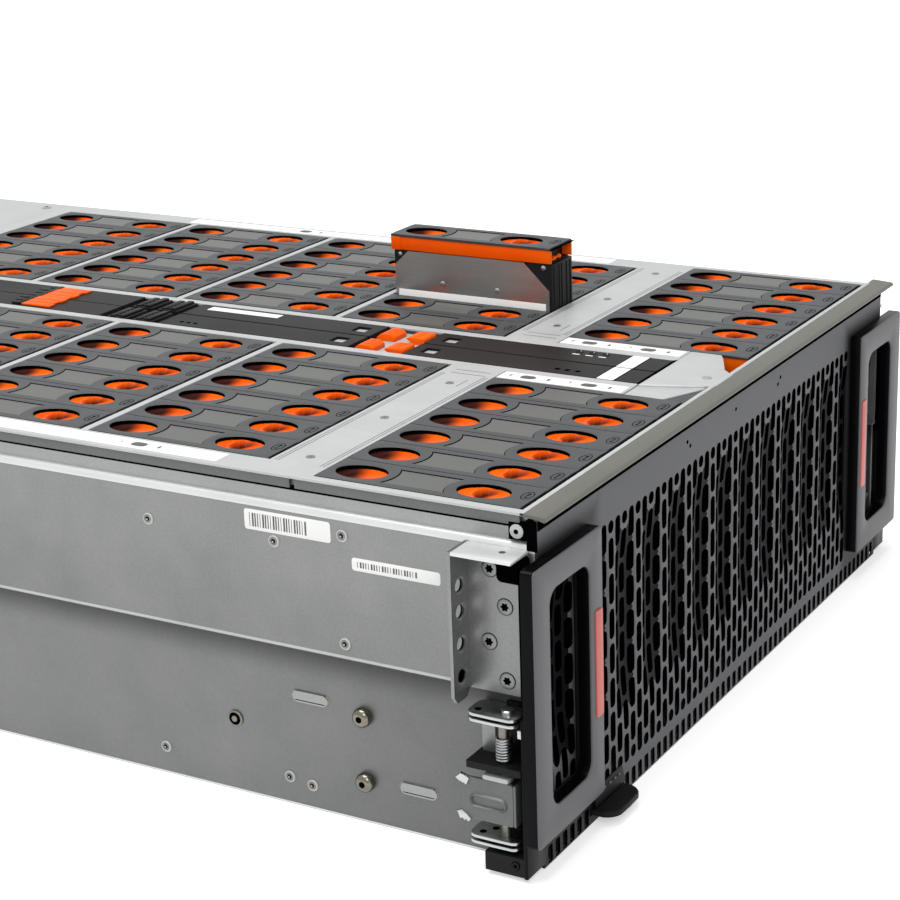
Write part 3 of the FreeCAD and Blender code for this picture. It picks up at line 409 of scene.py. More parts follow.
def wire_ring(shape, place, radius, wire, finish):
    """A ring of round wire on a place, with the finish where the wire's ends meet."""
    start = place @ at(radius, 0, 0) @ Matrix.Rotation(QUARTER, 4, "X")
    made = bmesh.ops.create_circle(shape, segments=6, radius=wire, matrix=start)["verts"]
    bmesh.ops.spin(
        shape, geom=made + edges_of(made), cent=place.to_translation(),
        axis=place.to_3x3() @ Vector((0, 0, 1)), angle=2 * math.pi, steps=32, use_merge=True)
    paint(made, finish)


def coil(shape, x, y, low, high, radius, wire, turns):
    """A spring wound on an upright axis."""
    start = at(x + radius, y, low) @ Matrix.Rotation(QUARTER, 4, "X")
    made = bmesh.ops.create_circle(shape, cap_ends=True, segments=8, radius=wire, matrix=start)["verts"]
    steps = 16 * turns
    bmesh.ops.spin(
        shape, geom=made + edges_of(made), cent=(x, y, low), axis=(0, 0, 1), angle=2 * math.pi * turns,
        steps=steps, dvec=(0, 0, (high - low) / steps))


def mirrored(shape):
    """Adds the same shapes on the right."""
    everything = shape.verts[:] + shape.edges[:] + shape.faces[:]
    bmesh.ops.mirror(shape, geom=everything, axis="X", merge_dist=0.0)


def stamp(shape, pattern, place):
    """Adds a copy of a pattern's mesh at a place."""
    before = set(shape.verts)
    shape.from_mesh(pattern)
    bmesh.ops.transform(shape, matrix=place, verts=[vert for vert in shape.verts if vert not in before])


def keep_pattern(name, shape):
    """Keeps a shape as a mesh that stamp copies."""
    bmesh.ops.recalc_face_normals(shape, faces=shape.faces)
    pattern = bpy.data.meshes.new(name)
    shape.to_mesh(pattern)
    shape.free()
    return pattern


def make_piece(name, shape, finishes, stands_for=(), body="chassis", outwards=True):
    """Turns a shape into a piece of the model that rides on a body."""
    if outwards:
        bmesh.ops.recalc_face_normals(shape, faces=shape.faces)
    bmesh.ops.scale(shape, vec=(MM, MM, MM), verts=shape.verts)
    mesh = bpy.data.meshes.new(name)
    shape.to_mesh(mesh)
    shape.free()
    for finish in finishes:
        mesh.materials.append(finish)
    mesh.polygons.foreach_set("use_smooth", [True] * len(mesh.polygons))
    mesh.set_sharp_from_angle(angle=SHARP)
    piece = bpy.data.objects.new(name, mesh)
    bpy.context.scene.collection.objects.link(piece)
    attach(piece, body)
    if stands_for:
        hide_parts(*stands_for)


# Carriers: own frame with X across, Y back from the cap's front edge, Z up from the cap's top

CAP_WIDTH = 28.6
CAP_LENGTH = 110.0
CAP_EDGE = 1.4
WELL_WIDTH = 18.6
WELL_LENGTH = 27.2
WELL_FRONT = 27.5
WELL_BACK = 93.0
WELL_CELL = 15.1
WINDOW_WIDTH = 19.6
WINDOW_ARC = 18.4
WINDOW_STEPS = ((0.0, 0.0), (-0.2, 0.5), (-0.5, 0.5), (-0.6, 0.3))
BRIM = ((0.7, 0.0), (0.25, 0.12), (0.0, 0.35), (0.0, 3.6))
STEP_BACK = 1.6
STEP_DROP = 0.9


def drawn_out(shape, edges, axis, new_place):
    """Pulls new faces out of edges, to where a function of the old coordinate on an axis says."""
    for item in bmesh.ops.extrude_edge_only(shape, edges=edges)["geom"]:
        if isinstance(item, bmesh.types.BMVert):
            item.co[axis] = new_place(item.co[axis])


def cap_pattern():
    """A cap's lid with its two finger wells, the sunk window between them and a small oval mark."""
    shape = bmesh.new()
    for middle in (WELL_FRONT, WELL_BACK):
        cell = ring(shape, at(0, middle, 0), CAP_WIDTH, 2 * WELL_CELL, 0)
        brim = [ring(shape, at(0, middle, -drop), WELL_WIDTH + 2 * spread, WELL_LENGTH + 2 * spread)
                for spread, drop in BRIM]
        loft(shape, [cell] + brim[:3])
        # The wells' walls below the brim are painted black as shade.
        loft(shape, brim[2:], finish=2)
    low, high = WELL_FRONT + WELL_CELL, WELL_BACK - WELL_CELL
    middle = (low + high) / 2
    window = [ring(shape, at(0, middle, 0), CAP_WIDTH, high - low, 0)]
    for spread, drop in WINDOW_STEPS:
        edge = ring(shape, at(0, middle, -drop), WINDOW_WIDTH + 2 * spread, high - low, 0)
        for vert in {vert for e in edge for vert in e.verts}:
            bulge = math.sqrt(WINDOW_ARC ** 2 - vert.co.x ** 2) - spread
            share = (vert.co.y - middle) / (high - low) * 2
            end = WELL_BACK - bulge - middle if share > 0 else middle - WELL_FRONT - bulge
            vert.co.y = middle + share * end
        window.append(edge)
    loft(shape, window[:2])
    # The window's sunk edges are painted black as shade.
    loft(shape, window[1:4], finish=2)
    loft(shape, window[3:], finish=1, ends=(-1,))
    bmesh.ops.remove_doubles(shape, verts=shape.verts, dist=TINY)
    for start, end in ((WELL_FRONT - WELL_CELL, STEP_BACK), (WELL_BACK + WELL_CELL, CAP_LENGTH)):
        rim = [edge for edge in shape.edges if all(abs(vert.co.y - start) < TINY for vert in edge.verts)]
        drawn_out(shape, rim, 1, lambda old: end)

    def on_rim(vert):
        on_side = abs(abs(vert.co.x) - CAP_WIDTH / 2) < TINY
        on_end = not STEP_BACK + TINY <= vert.co.y <= CAP_LENGTH - TINY
        return abs(vert.co.z) < TINY and (on_side or on_end)

    rim = [edge for edge in shape.edges if edge.is_boundary and all(on_rim(vert) for vert in edge.verts)]
    drawn_out(shape, rim, 2, lambda old: old - CAP_EDGE)
    soften(shape, rim, 0.5)
    # A step along the cap's front edge, painted black as the shade of the gap in front of it.
    block(shape, (-CAP_WIDTH / 2, 0, -CAP_EDGE), (CAP_WIDTH / 2, STEP_BACK, -STEP_DROP), finish=2)
    # The oval mark and its bars, drawn in black as the shade of their engraving.
    loft(shape, [ring(shape, at(2.0, 6.0, 0.05), 10.4 - inset, 5.6 - inset, sides=20) for inset in (0, 0.9)], 2)
    for x, wide in ((-0.2, 1.2), (2.2, 0.8), (4.2, 1.2)):
        block(shape, (x - wide / 2, 5.2, -0.1), (x + wide / 2, 6.8, 0.05), finish=2)
    return keep_pattern("cap_pattern", shape)


PULL_HALF_WIDTH = 10.2
PULL_HALF_LENGTH = 13.9
PULL_RIM = -1.9
BAND_OUT = 13.9
BAND_IN = 12.0
BAND_LOW = -9.6
BAND_HIGH = -1.5
BAND_FRONT = 0.9
BAND_BACK = 106.3
HOOK_X = 1.5
TRIGGER_Y = 1.7


def smooth(value, start, end):
    """A share that runs smoothly from 0 at the start to 1 at the end."""
    share = min(max((value - start) / (end - start), 0), 1)
    return share * share * (3 - 2 * share)


def scoop(x, along):
    """How far the pull under the rear well lies below its rim and how much painted shade it takes: it falls to
    the back.
    """
    fall = smooth(along, 8.0, -12.0)
    hook = 0.7 * math.exp(-((along - 8.5) / 1.6) ** 2)
    return 1.4 * fall + 0.5 - hook, smooth(along + 0.3 * x, 6.0, -6.0)


def hooked(x, along):
    """The same for the front well: a curved lip at the back, and a pocket painted dark as shade just in front
    of it.
    """
    bent = along - 0.07 * (x - HOOK_X) ** 2 + 4.0
    lip = math.exp(-((bent + 2.4) / 1.8) ** 2)
    dark = math.exp(-(bent / 6.0) ** 2) if bent > 0 else math.exp(-(bent / 0.9) ** 2)
    inside = smooth(abs(x - HOOK_X), 9.0, 5.5)
    return 0.8 + (2.0 * dark - 1.5 * lip) * inside, dark * inside


def latch_pattern():
    """The orange latch under a cap: side bands, an end wall, a trigger, and a scooped pull under each well."""
    shape = bmesh.new()
    # Painted shade: how dark each point under the wells is painted, kept on the mesh as its depth.
    depth = shape.verts.layers.float.new("depth")
    for sign in (-1, 1):
        side_block(shape, sign, BAND_IN, BAND_OUT, BAND_FRONT, BAND_BACK, BAND_LOW, BAND_HIGH, 0.5)
    block(shape, (-BAND_IN, BAND_BACK - 2, BAND_LOW), (BAND_IN, BAND_BACK, BAND_HIGH - 2.2), 0.4)
    block(shape, (-BAND_IN, 22.5, -12.8), (BAND_IN, 90.5, BAND_LOW), 0.3)
    rod(shape, (-BAND_IN, TRIGGER_Y, -7.4), (-1.8, TRIGGER_Y, -6.6), 0.7, 8)
    for x in (-8.2, -1.8):
        bmesh.ops.create_icosphere(shape, subdivisions=2, radius=1.4, matrix=at(x, TRIGGER_Y, -6.9))
    for middle, sunk in ((WELL_BACK, scoop), (WELL_FRONT, hooked)):
        place = at(0, middle, 0) @ Matrix.Diagonal((PULL_HALF_WIDTH, PULL_HALF_LENGTH, 1.0, 1.0))
        pull = bmesh.ops.create_grid(shape, x_segments=16, y_segments=26, size=1.0, matrix=place)
        for vert in pull["verts"]:
            along = middle - vert.co.y
            edge = math.hypot(vert.co.x / WELL_WIDTH, along / WELL_LENGTH) * 2
            drop, vert[depth] = sunk(vert.co.x, along)
            vert.co.z = PULL_RIM - drop * smooth(edge, 1.1, 0.7)
    return keep_pattern("latch_pattern", shape)


def drive_pattern():
    """A drive: cast body with a blank label."""
    shape = bmesh.new()
    block(shape, (-12.9, 8.0, -161.0), (13.0, 102.0, -14.0), 1.2)
    block(shape, (12.9, 16.0, -150.0), (13.2, 94.0, -40.0), 0.1, finish=1)
    return keep_pattern("drive_pattern", shape)


TRAY_LEFT = -13.05
TRAY_RIGHT = 13.4
TRAY_LOW = -158.0
TRAY_PLATE = ((2.2, -114), (2.2, -26), (18.9, -10), (98.5, -10), (107.8, -19), (107.8, -114))
JOGGLE = ((-14.05, -33.8), (-14.05, -39.2), (-14.75, -39.2), (-14.75, -37.0))
TRAY_RIVETS = ((37.3, -29.0), (74.7, -28.3), (37.3, -100.0), (74.7, -100.0))


def tray_pattern():
    """A drive's tray: black end frames with ribs, and a steel side plate with cut corners and a step painted
    bright as its highlight.
    """
    shape = bmesh.new()
    for front, rear, high in ((3.2, 22.0, BAND_LOW), (94.0, 108.6, BAND_LOW), (0.9, 4.0, BAND_LOW - 0.6)):
        block(shape, (TRAY_LEFT, front, TRAY_LOW), (TRAY_RIGHT, rear, high), 0.4)
    block(shape, (-11.6, 6.4, -13.0), (11.6, 8.0, -CAP_EDGE), 0.3)
    for x in (-9.6, -3.2, 0.2, 6.4, 11.0):
        block(shape, (x - 0.5, 0.5, TRAY_LOW + 2), (x + 0.5, 1.3, BAND_LOW - 2), 0.2)
    sweep(shape, [(-y, z) for y, z in TRAY_PLATE], facing_left(TRAY_LEFT, 0, 0), 1.0, 1, 2)
    # The step, painted white as its highlight.
    sweep(shape, JOGGLE, facing_front(0, 105.5, 0), 101.0, 3)
    for y, z in TRAY_RIVETS:
        turned(shape, facing_left(TRAY_LEFT - 1.0, y, z), ((1.8, 0), (1.7, 0.3), (1.0, 0.5)), 14, 2)
    turned(shape, facing_left(TRAY_LEFT, 6.1, -12.3), ((1.6, 0), (1.5, 0.5), (0.9, 0.8)), 14, 2)
    turned(shape, facing_left(TRAY_LEFT, 104.2, -12.3), ((1.4, 0), (1.3, 0.5), (0.8, 0.8)), 14, 2)
    return keep_pattern("tray_pattern", shape)


ROW_PITCH = 29.2
ROW_FRONTS = (-276.5, -161.0, -45.5, 70.0)
ROW_SIDE = 6
FIRST_FRONT = -420.5
FIRST_INNER = 57.9
NEXT_INNER = 45.4
DECK = 175.0
RAISED_TOP = 212.75
RAISED_SEAT = (ROW_FRONTS[0], 1, 2)
CARRIER_PARTS = (
    ("cap", cap_pattern(), (cap_abs, window_film, inner_black), "cap_plastic"),
    ("latch", latch_pattern(), (latch_acetal,), "orange_plastic"),
    ("drive", drive_pattern(), (drive_cast, label_paper), "drive_casting"),
    ("tray", tray_pattern(), (black_abs, bare_steel, bright_zinc, label_paper), "drive_carrier"),
)


def carrier_piece(part, ending, places, body, stands_for):
    """One piece with a carrier's part at each of the places."""
    name, pattern, finishes, slot = part
    shape = bmesh.new()
    for place in places:
        stamp(shape, pattern, place)
    make_piece(name + ending, shape, finishes, stands_for, body, outwards=False)


for side, sign in SIDES:
    for number in range(ROW_SIDE):
        body = f"carrier_{side}_{number + 1}"
        place = at(sign * (FIRST_INNER + ROW_PITCH * number), FIRST_FRONT, DECK)
        for part in CARRIER_PARTS:
            stands_for = [body] if part[0] == "cap" else []
            carrier_piece(part, f"_{side}_{number + 1}", [place], body, stands_for)

raised = at(NEXT_INNER + RAISED_SEAT[2] * ROW_PITCH, RAISED_SEAT[0], RAISED_TOP)
RAISED_BODIES = ("raised_carrier", "raised_latch", "raised_carrier", "raised_carrier")
RAISED_NODES = ("raised_cap", "raised_latch", "raised_drive", "raised_plate")
for part, body, node in zip(CARRIER_PARTS, RAISED_BODIES, RAISED_NODES):
    carrier_piece(part, "_raised", [raised], body, [node])

band_end = bmesh.new()
for sign in (-1, 1):
    side_block(band_end, sign, 13.95, 14.25, 103.5, 109.9, BAND_LOW, BAND_HIGH, 0.1)
block(band_end, (-14.0, 109.5, BAND_LOW), (14.0, 109.9, BAND_HIGH - 0.8), 0.1)
bmesh.ops.transform(band_end, matrix=raised, verts=band_end.verts)
make_piece("band_end_raised", band_end, (latch_acetal,), body="raised_carrier")

seats = [at(sign * (NEXT_INNER + ROW_PITCH * number), front, DECK)
         for front in ROW_FRONTS for sign in (-1, 1) for number in range(ROW_SIDE)
         if (front, sign, number) != RAISED_SEAT]
for part, node in zip(CARRIER_PARTS[:2], ("seated_caps", "seated_latches")):
    carrier_piece(part, "s_seated", seats, "chassis", [node])


# Front: grille, handles, window pockets, lip, tag

PITCH = 7.5
COLUMNS = 45
CELL = 18.0
CELLS = 7
SLOT = (5.8, 15.6, 2.85)
SHORT_SLOT = (5.8, 6.4, 2.85)
FOOT_SLOT = (4.8, 9.0, 1.4)
GRILLE_LOW = 14.5
PANEL_FACE = -430.5
PANEL_BACK = -429.0
PANEL_FOOT = 0.5
SHEET = 1.0
FLUTE_SPAN = 4 * PITCH
FLUTE_HALF = 1.5 * PITCH
FLUTE_DEPTH = 2.2
FLUTE_LOW = 36.0
FLUTE_HIGH = 146.0
FLUTE_SHADE = 0.8
RUN_OUT_LOW = 36.0
RUN_OUT_HIGH = 30.0
DARK_FROM = FLUTE_LOW + 9
DARK_TO = FLUTE_HIGH - 7


def slot_cell(shape, z, height, slot, shift=0.0):
    """A cell of the grille's sheet round a slot with round ends: pale in front, painted black as shade inside
    and behind.
    """
    cell = (PITCH, height, 0)
    frames = [ring(shape, facing_front(0, PANEL_FACE + y, z + move), *size, 16)
              for y, size, move in ((0, cell, 0), (0, slot, shift), (SHEET, slot, shift), (SHEET, cell, 0))]
    loft(shape, frames[:2])
    loft(shape, frames[1:], 1)


def column_pattern(name, short_low):
    """A column of long slots and a short one, which lies below or above them."""
    shape = bmesh.new()
    base = GRILLE_LOW + (CELL / 2 if short_low else 0)
    for row in range(CELLS):
        slot_cell(shape, base + CELL * (row + 0.5), CELL, SLOT)
    short = GRILLE_LOW + CELL / 4 + (0 if short_low else CELLS * CELL)
    slot_cell(shape, short, CELL / 2, SHORT_SLOT)
    return keep_pattern(name, shape)


def press_flutes(shape, first, half, depth):
    """Presses the sheet in along flutes that run out at both ends; their inside is painted dark as shade."""

    def from_flute(x):
        return (x - first + FLUTE_SPAN / 2) % FLUTE_SPAN - FLUTE_SPAN / 2

    for vert in shape.verts:
        z = vert.co.z
        run_out = smooth(z, FLUTE_LOW, FLUTE_LOW + RUN_OUT_LOW)
        run_out *= smooth(z, FLUTE_HIGH, FLUTE_HIGH - RUN_OUT_HIGH)
        vert.co.y += depth * run_out * max(1 - (from_flute(vert.co.x) / half) ** 2, 0)
    for face in shape.faces:
        middle = face.calc_center_median()
        inside = DARK_FROM < middle.z < DARK_TO and abs(from_flute(middle.x)) < FLUTE_SHADE * half
        if face.material_index == 0 and inside:
            face.material_index = 2


columns = [column_pattern("low_column", False), column_pattern("high_column", True)]
grille = bmesh.new()
for number in range(COLUMNS):
    stamp(grille, columns[number % 2], at((number - COLUMNS // 2) * PITCH, 0, 0))
bmesh.ops.remove_doubles(grille, verts=grille.verts, dist=TINY)
press_flutes(grille, FLUTE_SPAN / 2, FLUTE_HALF, FLUTE_DEPTH)

foot = bmesh.new()
slot_cell(foot, (GRILLE_LOW + PANEL_FOOT) / 2, GRILLE_LOW - PANEL_FOOT, FOOT_SLOT, -1.8)
foot = keep_pattern("foot_cell", foot)
FEET = 29
TAG_COLUMNS = (-23, -19)
for number in range(-FEET, FEET + 1):
    if not TAG_COLUMNS[0] <= number <= TAG_COLUMNS[1]:
        stamp(grille, foot, at(number * PITCH, 0, 0))
GRILLE_HALF = COLUMNS * PITCH / 2
GRILLE_HIGH = GRILLE_LOW + (CELLS + 0.5) * CELL
FEET_HALF = (FEET + 0.5) * PITCH
PANEL_HALF = 223.5
PANEL_TOP = 172.7
HANDLE_WINDOW = 186.0
PANEL_BARS = (
    (GRILLE_HALF, HANDLE_WINDOW, GRILLE_LOW, GRILLE_HIGH), (HANDLE_WINDOW, PANEL_HALF, GRILLE_LOW, 34.0),
    (HANDLE_WINDOW, PANEL_HALF, 141.0, GRILLE_HIGH), (FEET_HALF, PANEL_HALF, PANEL_FOOT, GRILLE_LOW))
block(grille, (-PANEL_HALF, PANEL_FACE, GRILLE_HIGH), (PANEL_HALF, PANEL_BACK, PANEL_TOP))
for sign in (-1, 1):
    for inner, outer, low, high in PANEL_BARS:
        side_block(grille, sign, inner, outer, PANEL_FACE, PANEL_BACK, low, high)
TAG_LEFT = (TAG_COLUMNS[0] - 0.5) * PITCH
TAG_RIGHT = (TAG_COLUMNS[1] + 0.5) * PITCH
for low, high in ((PANEL_FOOT, 4.8), (8.8, GRILLE_LOW)):
    block(grille, (TAG_LEFT, PANEL_FACE, low), (TAG_RIGHT, PANEL_BACK, high))
for x, z in ((-62.0, 160.5), (-58.5, 157.5), (62.0, 160.5), (58.5, 157.5), (0.0, 160.0)):
    disc(grille, facing_front(x, PANEL_FACE - 0.02, z), 1.1, 0.06, 12, 1)
# A black sheet behind the grille: painted shade seen through the slots.
block(grille, (-GRILLE_HALF, -421.3, GRILLE_LOW), (GRILLE_HALF, -420.9, GRILLE_HIGH), finish=1)
make_piece("grille", grille, (panel_coat, inner_black, flute_shade_coat), ["front_panel"],
           outwards=False)

HANDLE_X = 207.0
HANDLE_Z = 87.0
HANDLE_WIDTH = 68.0
HANDLE_HEIGHT = 136.0
HANDLE_CORNER = 2.4
GRIP_X = 206.0
GRIP_Z = 87.5
GRIP_WIDTH = 40.0
GRIP_HEIGHT = 107.0
GRIP_CORNER = 8.0
HANDLE_STEPS = ((-430.5, 0), (-436.6, 0), (-437.2, 0.3), (-437.5, 0.9))
GRIP_STEPS = ((-437.5, 1.8), (-437.2, 0.6), (-436.6, 0.0), (-430.5, 0.0))
for side, sign in SIDES:
    shape = bmesh.new()
    outer = [ring(shape, facing_front(sign * HANDLE_X, y, HANDLE_Z), HANDLE_WIDTH - 2 * inset,
                  HANDLE_HEIGHT - 2 * inset, HANDLE_CORNER - inset, 32)
             for y, inset in HANDLE_STEPS]
    grip = [ring(shape, facing_front(sign * GRIP_X, y, GRIP_Z), GRIP_WIDTH + wide, GRIP_HEIGHT + wide,
                 GRIP_CORNER + wide / 2, 32)
            for y, wide in GRIP_STEPS]
    loft(shape, outer[:2], finish=1)
    loft(shape, outer[1:] + grip[:3])
    loft(shape, grip[2:] + outer[:1], finish=1)
    make_piece(f"handle_{side}", shape, (handle_abs, black_gloss), [f"bezel_handle_{side}"])

strips = bmesh.new()
plate(strips, facing_front(-178.5, -437.4, 88.0), 7.0, 54.0, 1.2, 0.9, 0.3)
mirrored(strips)
make_piece("strips", strips, (red_strip,), ["accent_strips"])

POCKET_LOW = 14.0
POCKET_HIGH = 150.0
POCKET_SINK = 3.0
POCKET_WALLS = (
    ((-224.6, -421.6), (-183.0, -421.2)), ((-224.6, -423.4), (-224.2, -421.2)),
    ((-232.5, -430.4), (-231.7, -427.0)), ((-183.7, -429.0), (-183.0, -421.2)))
POCKET_SLANT = ((-232.4, -427.2), (-224.3, -423.2), (-224.3, -422.8), (-232.4, -426.8))
pockets = bmesh.new()
for number in range(25, 31):
    stamp(pockets, columns[number % 2], at(-number * PITCH, 0, 0))
bmesh.ops.remove_doubles(pockets, verts=pockets.verts, dist=TINY)
press_flutes(pockets, -26.5 * PITCH, 2 * PITCH, 3.0)
bmesh.ops.translate(pockets, vec=(0, POCKET_SINK, 0), verts=pockets.verts)
# The pockets' walls and slant, painted black as shade.
for low, high in POCKET_WALLS:
    block(pockets, (*low, POCKET_LOW), (*high, POCKET_HIGH), finish=1)
sweep(pockets, POCKET_SLANT, at(0, 0, POCKET_LOW), POCKET_HIGH - POCKET_LOW, 1)
mirrored(pockets)
make_piece("window_pockets", pockets, (charcoal_coat, inner_black, flute_shade_coat), ["inner_grilles"])

LIP_PROFILE = (
    (422.0, 175.0), (424.2, 174.9), (433.0, 174.3), (434.4, 173.9), (435.0, 173.2), (434.9, 172.4),
    (434.2, 172.0), (433.4, 172.1), (430.4, 172.9), (422.0, 173.5))
LIP_RIGHT = 233.0
lip = bmesh.new()
sweep(lip, LIP_PROFILE, facing_left(LIP_RIGHT, 0, 0), LIP_RIGHT + PANEL_HALF)
make_piece("lip", lip, (lip_paint,), ["front_lip"])
# Painted shadow: a black strip on the panel just under the lip.
lip_shade = bmesh.new()
block(lip_shade, (-223.4, -430.7, 167.4), (223.4, -430.4, 172.9))
make_piece("lip_shade", lip_shade, (inner_black,))
# Painted highlight: a pale strip along the lip's rear edge.
lip_edge = bmesh.new()
block(lip_edge, (-PANEL_HALF, -423.8, 173.8), (PANEL_HALF, -421.2, 175.2), 0.3)
make_piece("lip_edge", lip_edge, (lit_sheet,))

tag = bmesh.new()
plate(tag, at(-158.5, -409.5, 5.3), 33.0, 68.0, 9.0, 3.0, 0.8)
make_piece("tag", tag, (black_abs,), ["service_tag"], "service_tag")
tag_label = bmesh.new()
lean = Matrix.Rotation(math.radians(-12), 4, "X")
block(tag_label, (-173.5, -432.0, 9.2), (-141.5, -431.0, 17.5), 0.2, turn=lean)
for x in (-168.0, -162.5, -157.0, -151.5, -147.0):
    for z in (11.8, 14.8):
        block(tag_label, (x - 0.9, -432.2, z - 0.5), (x + 0.9, -431.2, z + 0.5), 0.1, 1, lean)
make_piece("tag_label", tag_label, (black_abs, window_film))


# Sides: made on the left and mirrored, apart from the stickers

SKIN = -223.5
WALL = -220.5
REAR = 421.5
SKIN_FRONT = -429.0
LEDGE_HIGH = 90.0
FOLD_LOW = 155.4
FOLD_WIDE = 3.0
FOLD_TALL = 5.2
FOLD_STEPS = 6
FOLD = [(WALL - FOLD_WIDE * math.cos(turn * QUARTER / FOLD_STEPS),
         FOLD_LOW + FOLD_TALL * math.sin(turn * QUARTER / FOLD_STEPS)) for turn in range(FOLD_STEPS + 1)]
SKIN_PROFILE = [
    (-219.0, 86.5), (-223.5, 86.5), (-223.9, 86.7), (-224.1, 87.1), (-223.9, 87.6), (-223.5, 88.2), *FOLD,
    (-220.5, 173.5), (-219.0, 173.5), (-219.0, 158.6), (-220.6, 157.4), (-222.0, 154.0),
    (-222.0, 88.0), (-219.0, 88.0)]
skins = bmesh.new()
sweep(skins, SKIN_PROFILE, facing_front(0, REAR, 0), REAR - SKIN_FRONT)
bmesh.ops.recalc_face_normals(skins, faces=skins.faces)
# Painted light: faces turned up to the ceiling light take pale highlights on the ledge's bead and on the fold,
# and the skin above the fold is painted a step paler against the rails' shade.
for face in skins.faces:
    high = face.calc_center_median().z
    lit = abs(face.normal.y) < 0.5 and face.normal.x < 0 and face.normal.z > 0.2
    if lit and high < LEDGE_HIGH:
        face.material_index = 3
    elif lit and high > FOLD_LOW:
        face.material_index = 1
    elif high > FOLD_LOW + FOLD_TALL:
        face.material_index = 2
mirrored(skins)
make_piece("skins", skins, (zinc_sheet, highlight_sheet, louvre_sheet, lit_sheet), ["side_skins"])

SKIRT_SPLIT = -300.2
skirts = bmesh.new()
for front, rear in ((-421.5, SKIRT_SPLIT - 1.3), (SKIRT_SPLIT + 1.3, 420.5)):
    block(skirts, (-223.0, front, 168.6), (-221.4, rear, 173.9), 0.5)
# Painted shadow: a black strip under the skirts.
block(skirts, (-220.9, -421.0, 166.9), (-220.55, 420.0, 169.4), finish=1)
# Painted highlight: a near-white strip along the bottom edge.
block(skirts, (-220.8, -420.0, 0.3), (-220.4, 420.0, 1.3), 0.1, 2)
mirrored(skirts)
make_piece("rail_skirts", skirts, (shaded_sheet, inner_black, highlight_sheet))

SKIN_RIVETS = (
    (-214.0, 140.5), (-288.6, 140.5), (-327.4, 149.3), (-326.2, 94.4), (120.0, 140.5), (300.0, 140.5),
    (-60.0, 94.4), (120.0, 94.4), (300.0, 94.4), (-60.0, 140.5), (400.0, 130.0), (400.0, 105.0))
WALL_RIVETS = (
    (-211.5, 15.2), (-287.5, 15.0), (-300.7, 13.0), (-60.0, 15.0), (120.0, 15.0), (300.0, 15.0),
    (404.0, 20.0), (404.0, 68.0))
PLUGS = ((-256.6, 40.4), (60.0, 40.4), (260.0, 40.4))
fixings = bmesh.new()
for x, places in ((SKIN, SKIN_RIVETS), (WALL, WALL_RIVETS)):
    for y, z in places:
        # A collar painted pale as lit, round a dark sunk face, with a painted glint at its middle
        turned(fixings, facing_left(x, y, z), ((3.1, 0), (3.0, 0.5), (2.6, 0.8)), finish=3)
        turned(fixings, facing_left(x - 0.8, y, z + 0.2), ((2.3, 0), (2.2, 0.05)), finish=2)
        disc(fixings, facing_left(x - 0.85, y, z + 0.2), 1.2, 0.05, 14, 1)
        disc(fixings, facing_left(x - 0.9, y + 0.3, z - 0.1), 0.5, 0.05, 10, 3)
for y, z in PLUGS:
    turned(fixings, facing_left(WALL, y, z), ((4.4, 0), (4.4, 0.7), (3.9, 1.1)), finish=2)
    disc(fixings, facing_left(WALL - 1.1, y, z), 3.4, 0.05, finish=1)
    turned(fixings, facing_left(WALL - 1.15, y, z), ((1.7, 0), (1.6, 0.3)), 12, 2)
block(fixings, (-223.1, -424.4, 161.6), (-220.4, -415.6, 170.4), 0.5, 1)
turned(fixings, facing_left(-223.1, -420.0, 166.0), ((3.4, 0), (3.4, 0.4), (2.6, 0.8)), finish=3)
disc(fixings, facing_left(-223.9, -420.0, 166.0), 1.2, 0.05, finish=1)
block(fixings, (-223.9, -430.4, 157.6), (-220.6, -425.0, 172.4), 0.4, 1)
mirrored(fixings)
make_piece("side_fixings", fixings, (bright_zinc, inner_black, dull_steel, lit_sheet))

STUD_Y = -332.5
STUD_HEIGHTS = (22.4, 56.8)
STUD_DOME = ((4.6, 0.0), (5.0, 0.8), (5.0, 2.2), (4.4, 3.6), (3.2, 4.5), (2.2, 4.8))
studs = bmesh.new()
for z in STUD_HEIGHTS:
    stud = facing_left(WALL, STUD_Y, z)
    turned(studs, stud, STUD_DOME, 24)
    disc(studs, stud @ at(0, 0, STUD_DOME[-1][1]), 1.8, 0.1, 6, 1)
mirrored(studs)
make_piece("studs", studs, (stud_steel, inner_black), ["shoulder_studs"])

LOUVRES = ((-302.2, 60.6), (-362.0, 24.1), (-40.0, 60.6), (20.0, 24.1), (180.0, 60.6), (340.0, 24.1))
LOUVRE_HALF = 8.8
louvres = bmesh.new()
for y, z in LOUVRES:
    front, rear = y - LOUVRE_HALF, y + LOUVRE_HALF
    plate(louvres, facing_left(WALL, y, z), 22.0, 6.0, 2.9, 0.15, 0.05, 1)
    plate(louvres, facing_left(WALL, y, z - 0.4), 21.0, 4.8, 2.3, 0.9, 0.8)
    # Painted highlight along each louvre's lower lip, painted shade along its top.
    block(louvres, (WALL - 0.9, front, z - 2.8), (WALL - 0.1, rear, z - 1.7), 0.3, 2)
    block(louvres, (WALL - 0.5, front, z + 2.0), (WALL - 0.1, rear, z + 2.8), 0.1, 3)
mirrored(louvres)
make_piece("louvres", louvres, (louvre_sheet, dull_steel, highlight_sheet, shaded_sheet))

STICKERS = ((-321.0, -272.1, 144.5, 155.0), (-380.0, -332.1, 133.0, 139.5))
BARS = 22
stickers = bmesh.new()
for front, rear, low, high in STICKERS:
    middle = facing_left(SKIN, (front + rear) / 2, (low + high) / 2)
    plate(stickers, middle, rear - front, high - low, 1.6, 0.12, 0.05)
    for bar in range(BARS):
        y = rear - 3.0 - 1.5 * bar
        wide = 0.35 + 0.2 * (bar * 3 % 4)
        block(stickers, (SKIN - 0.16, y - wide, low + 1.8), (SKIN - 0.1, y, high - 1.8), finish=1)
make_piece("stickers", stickers, (label_paper, grey_ink))


# Rack ears and latches, made on the left and mirrored

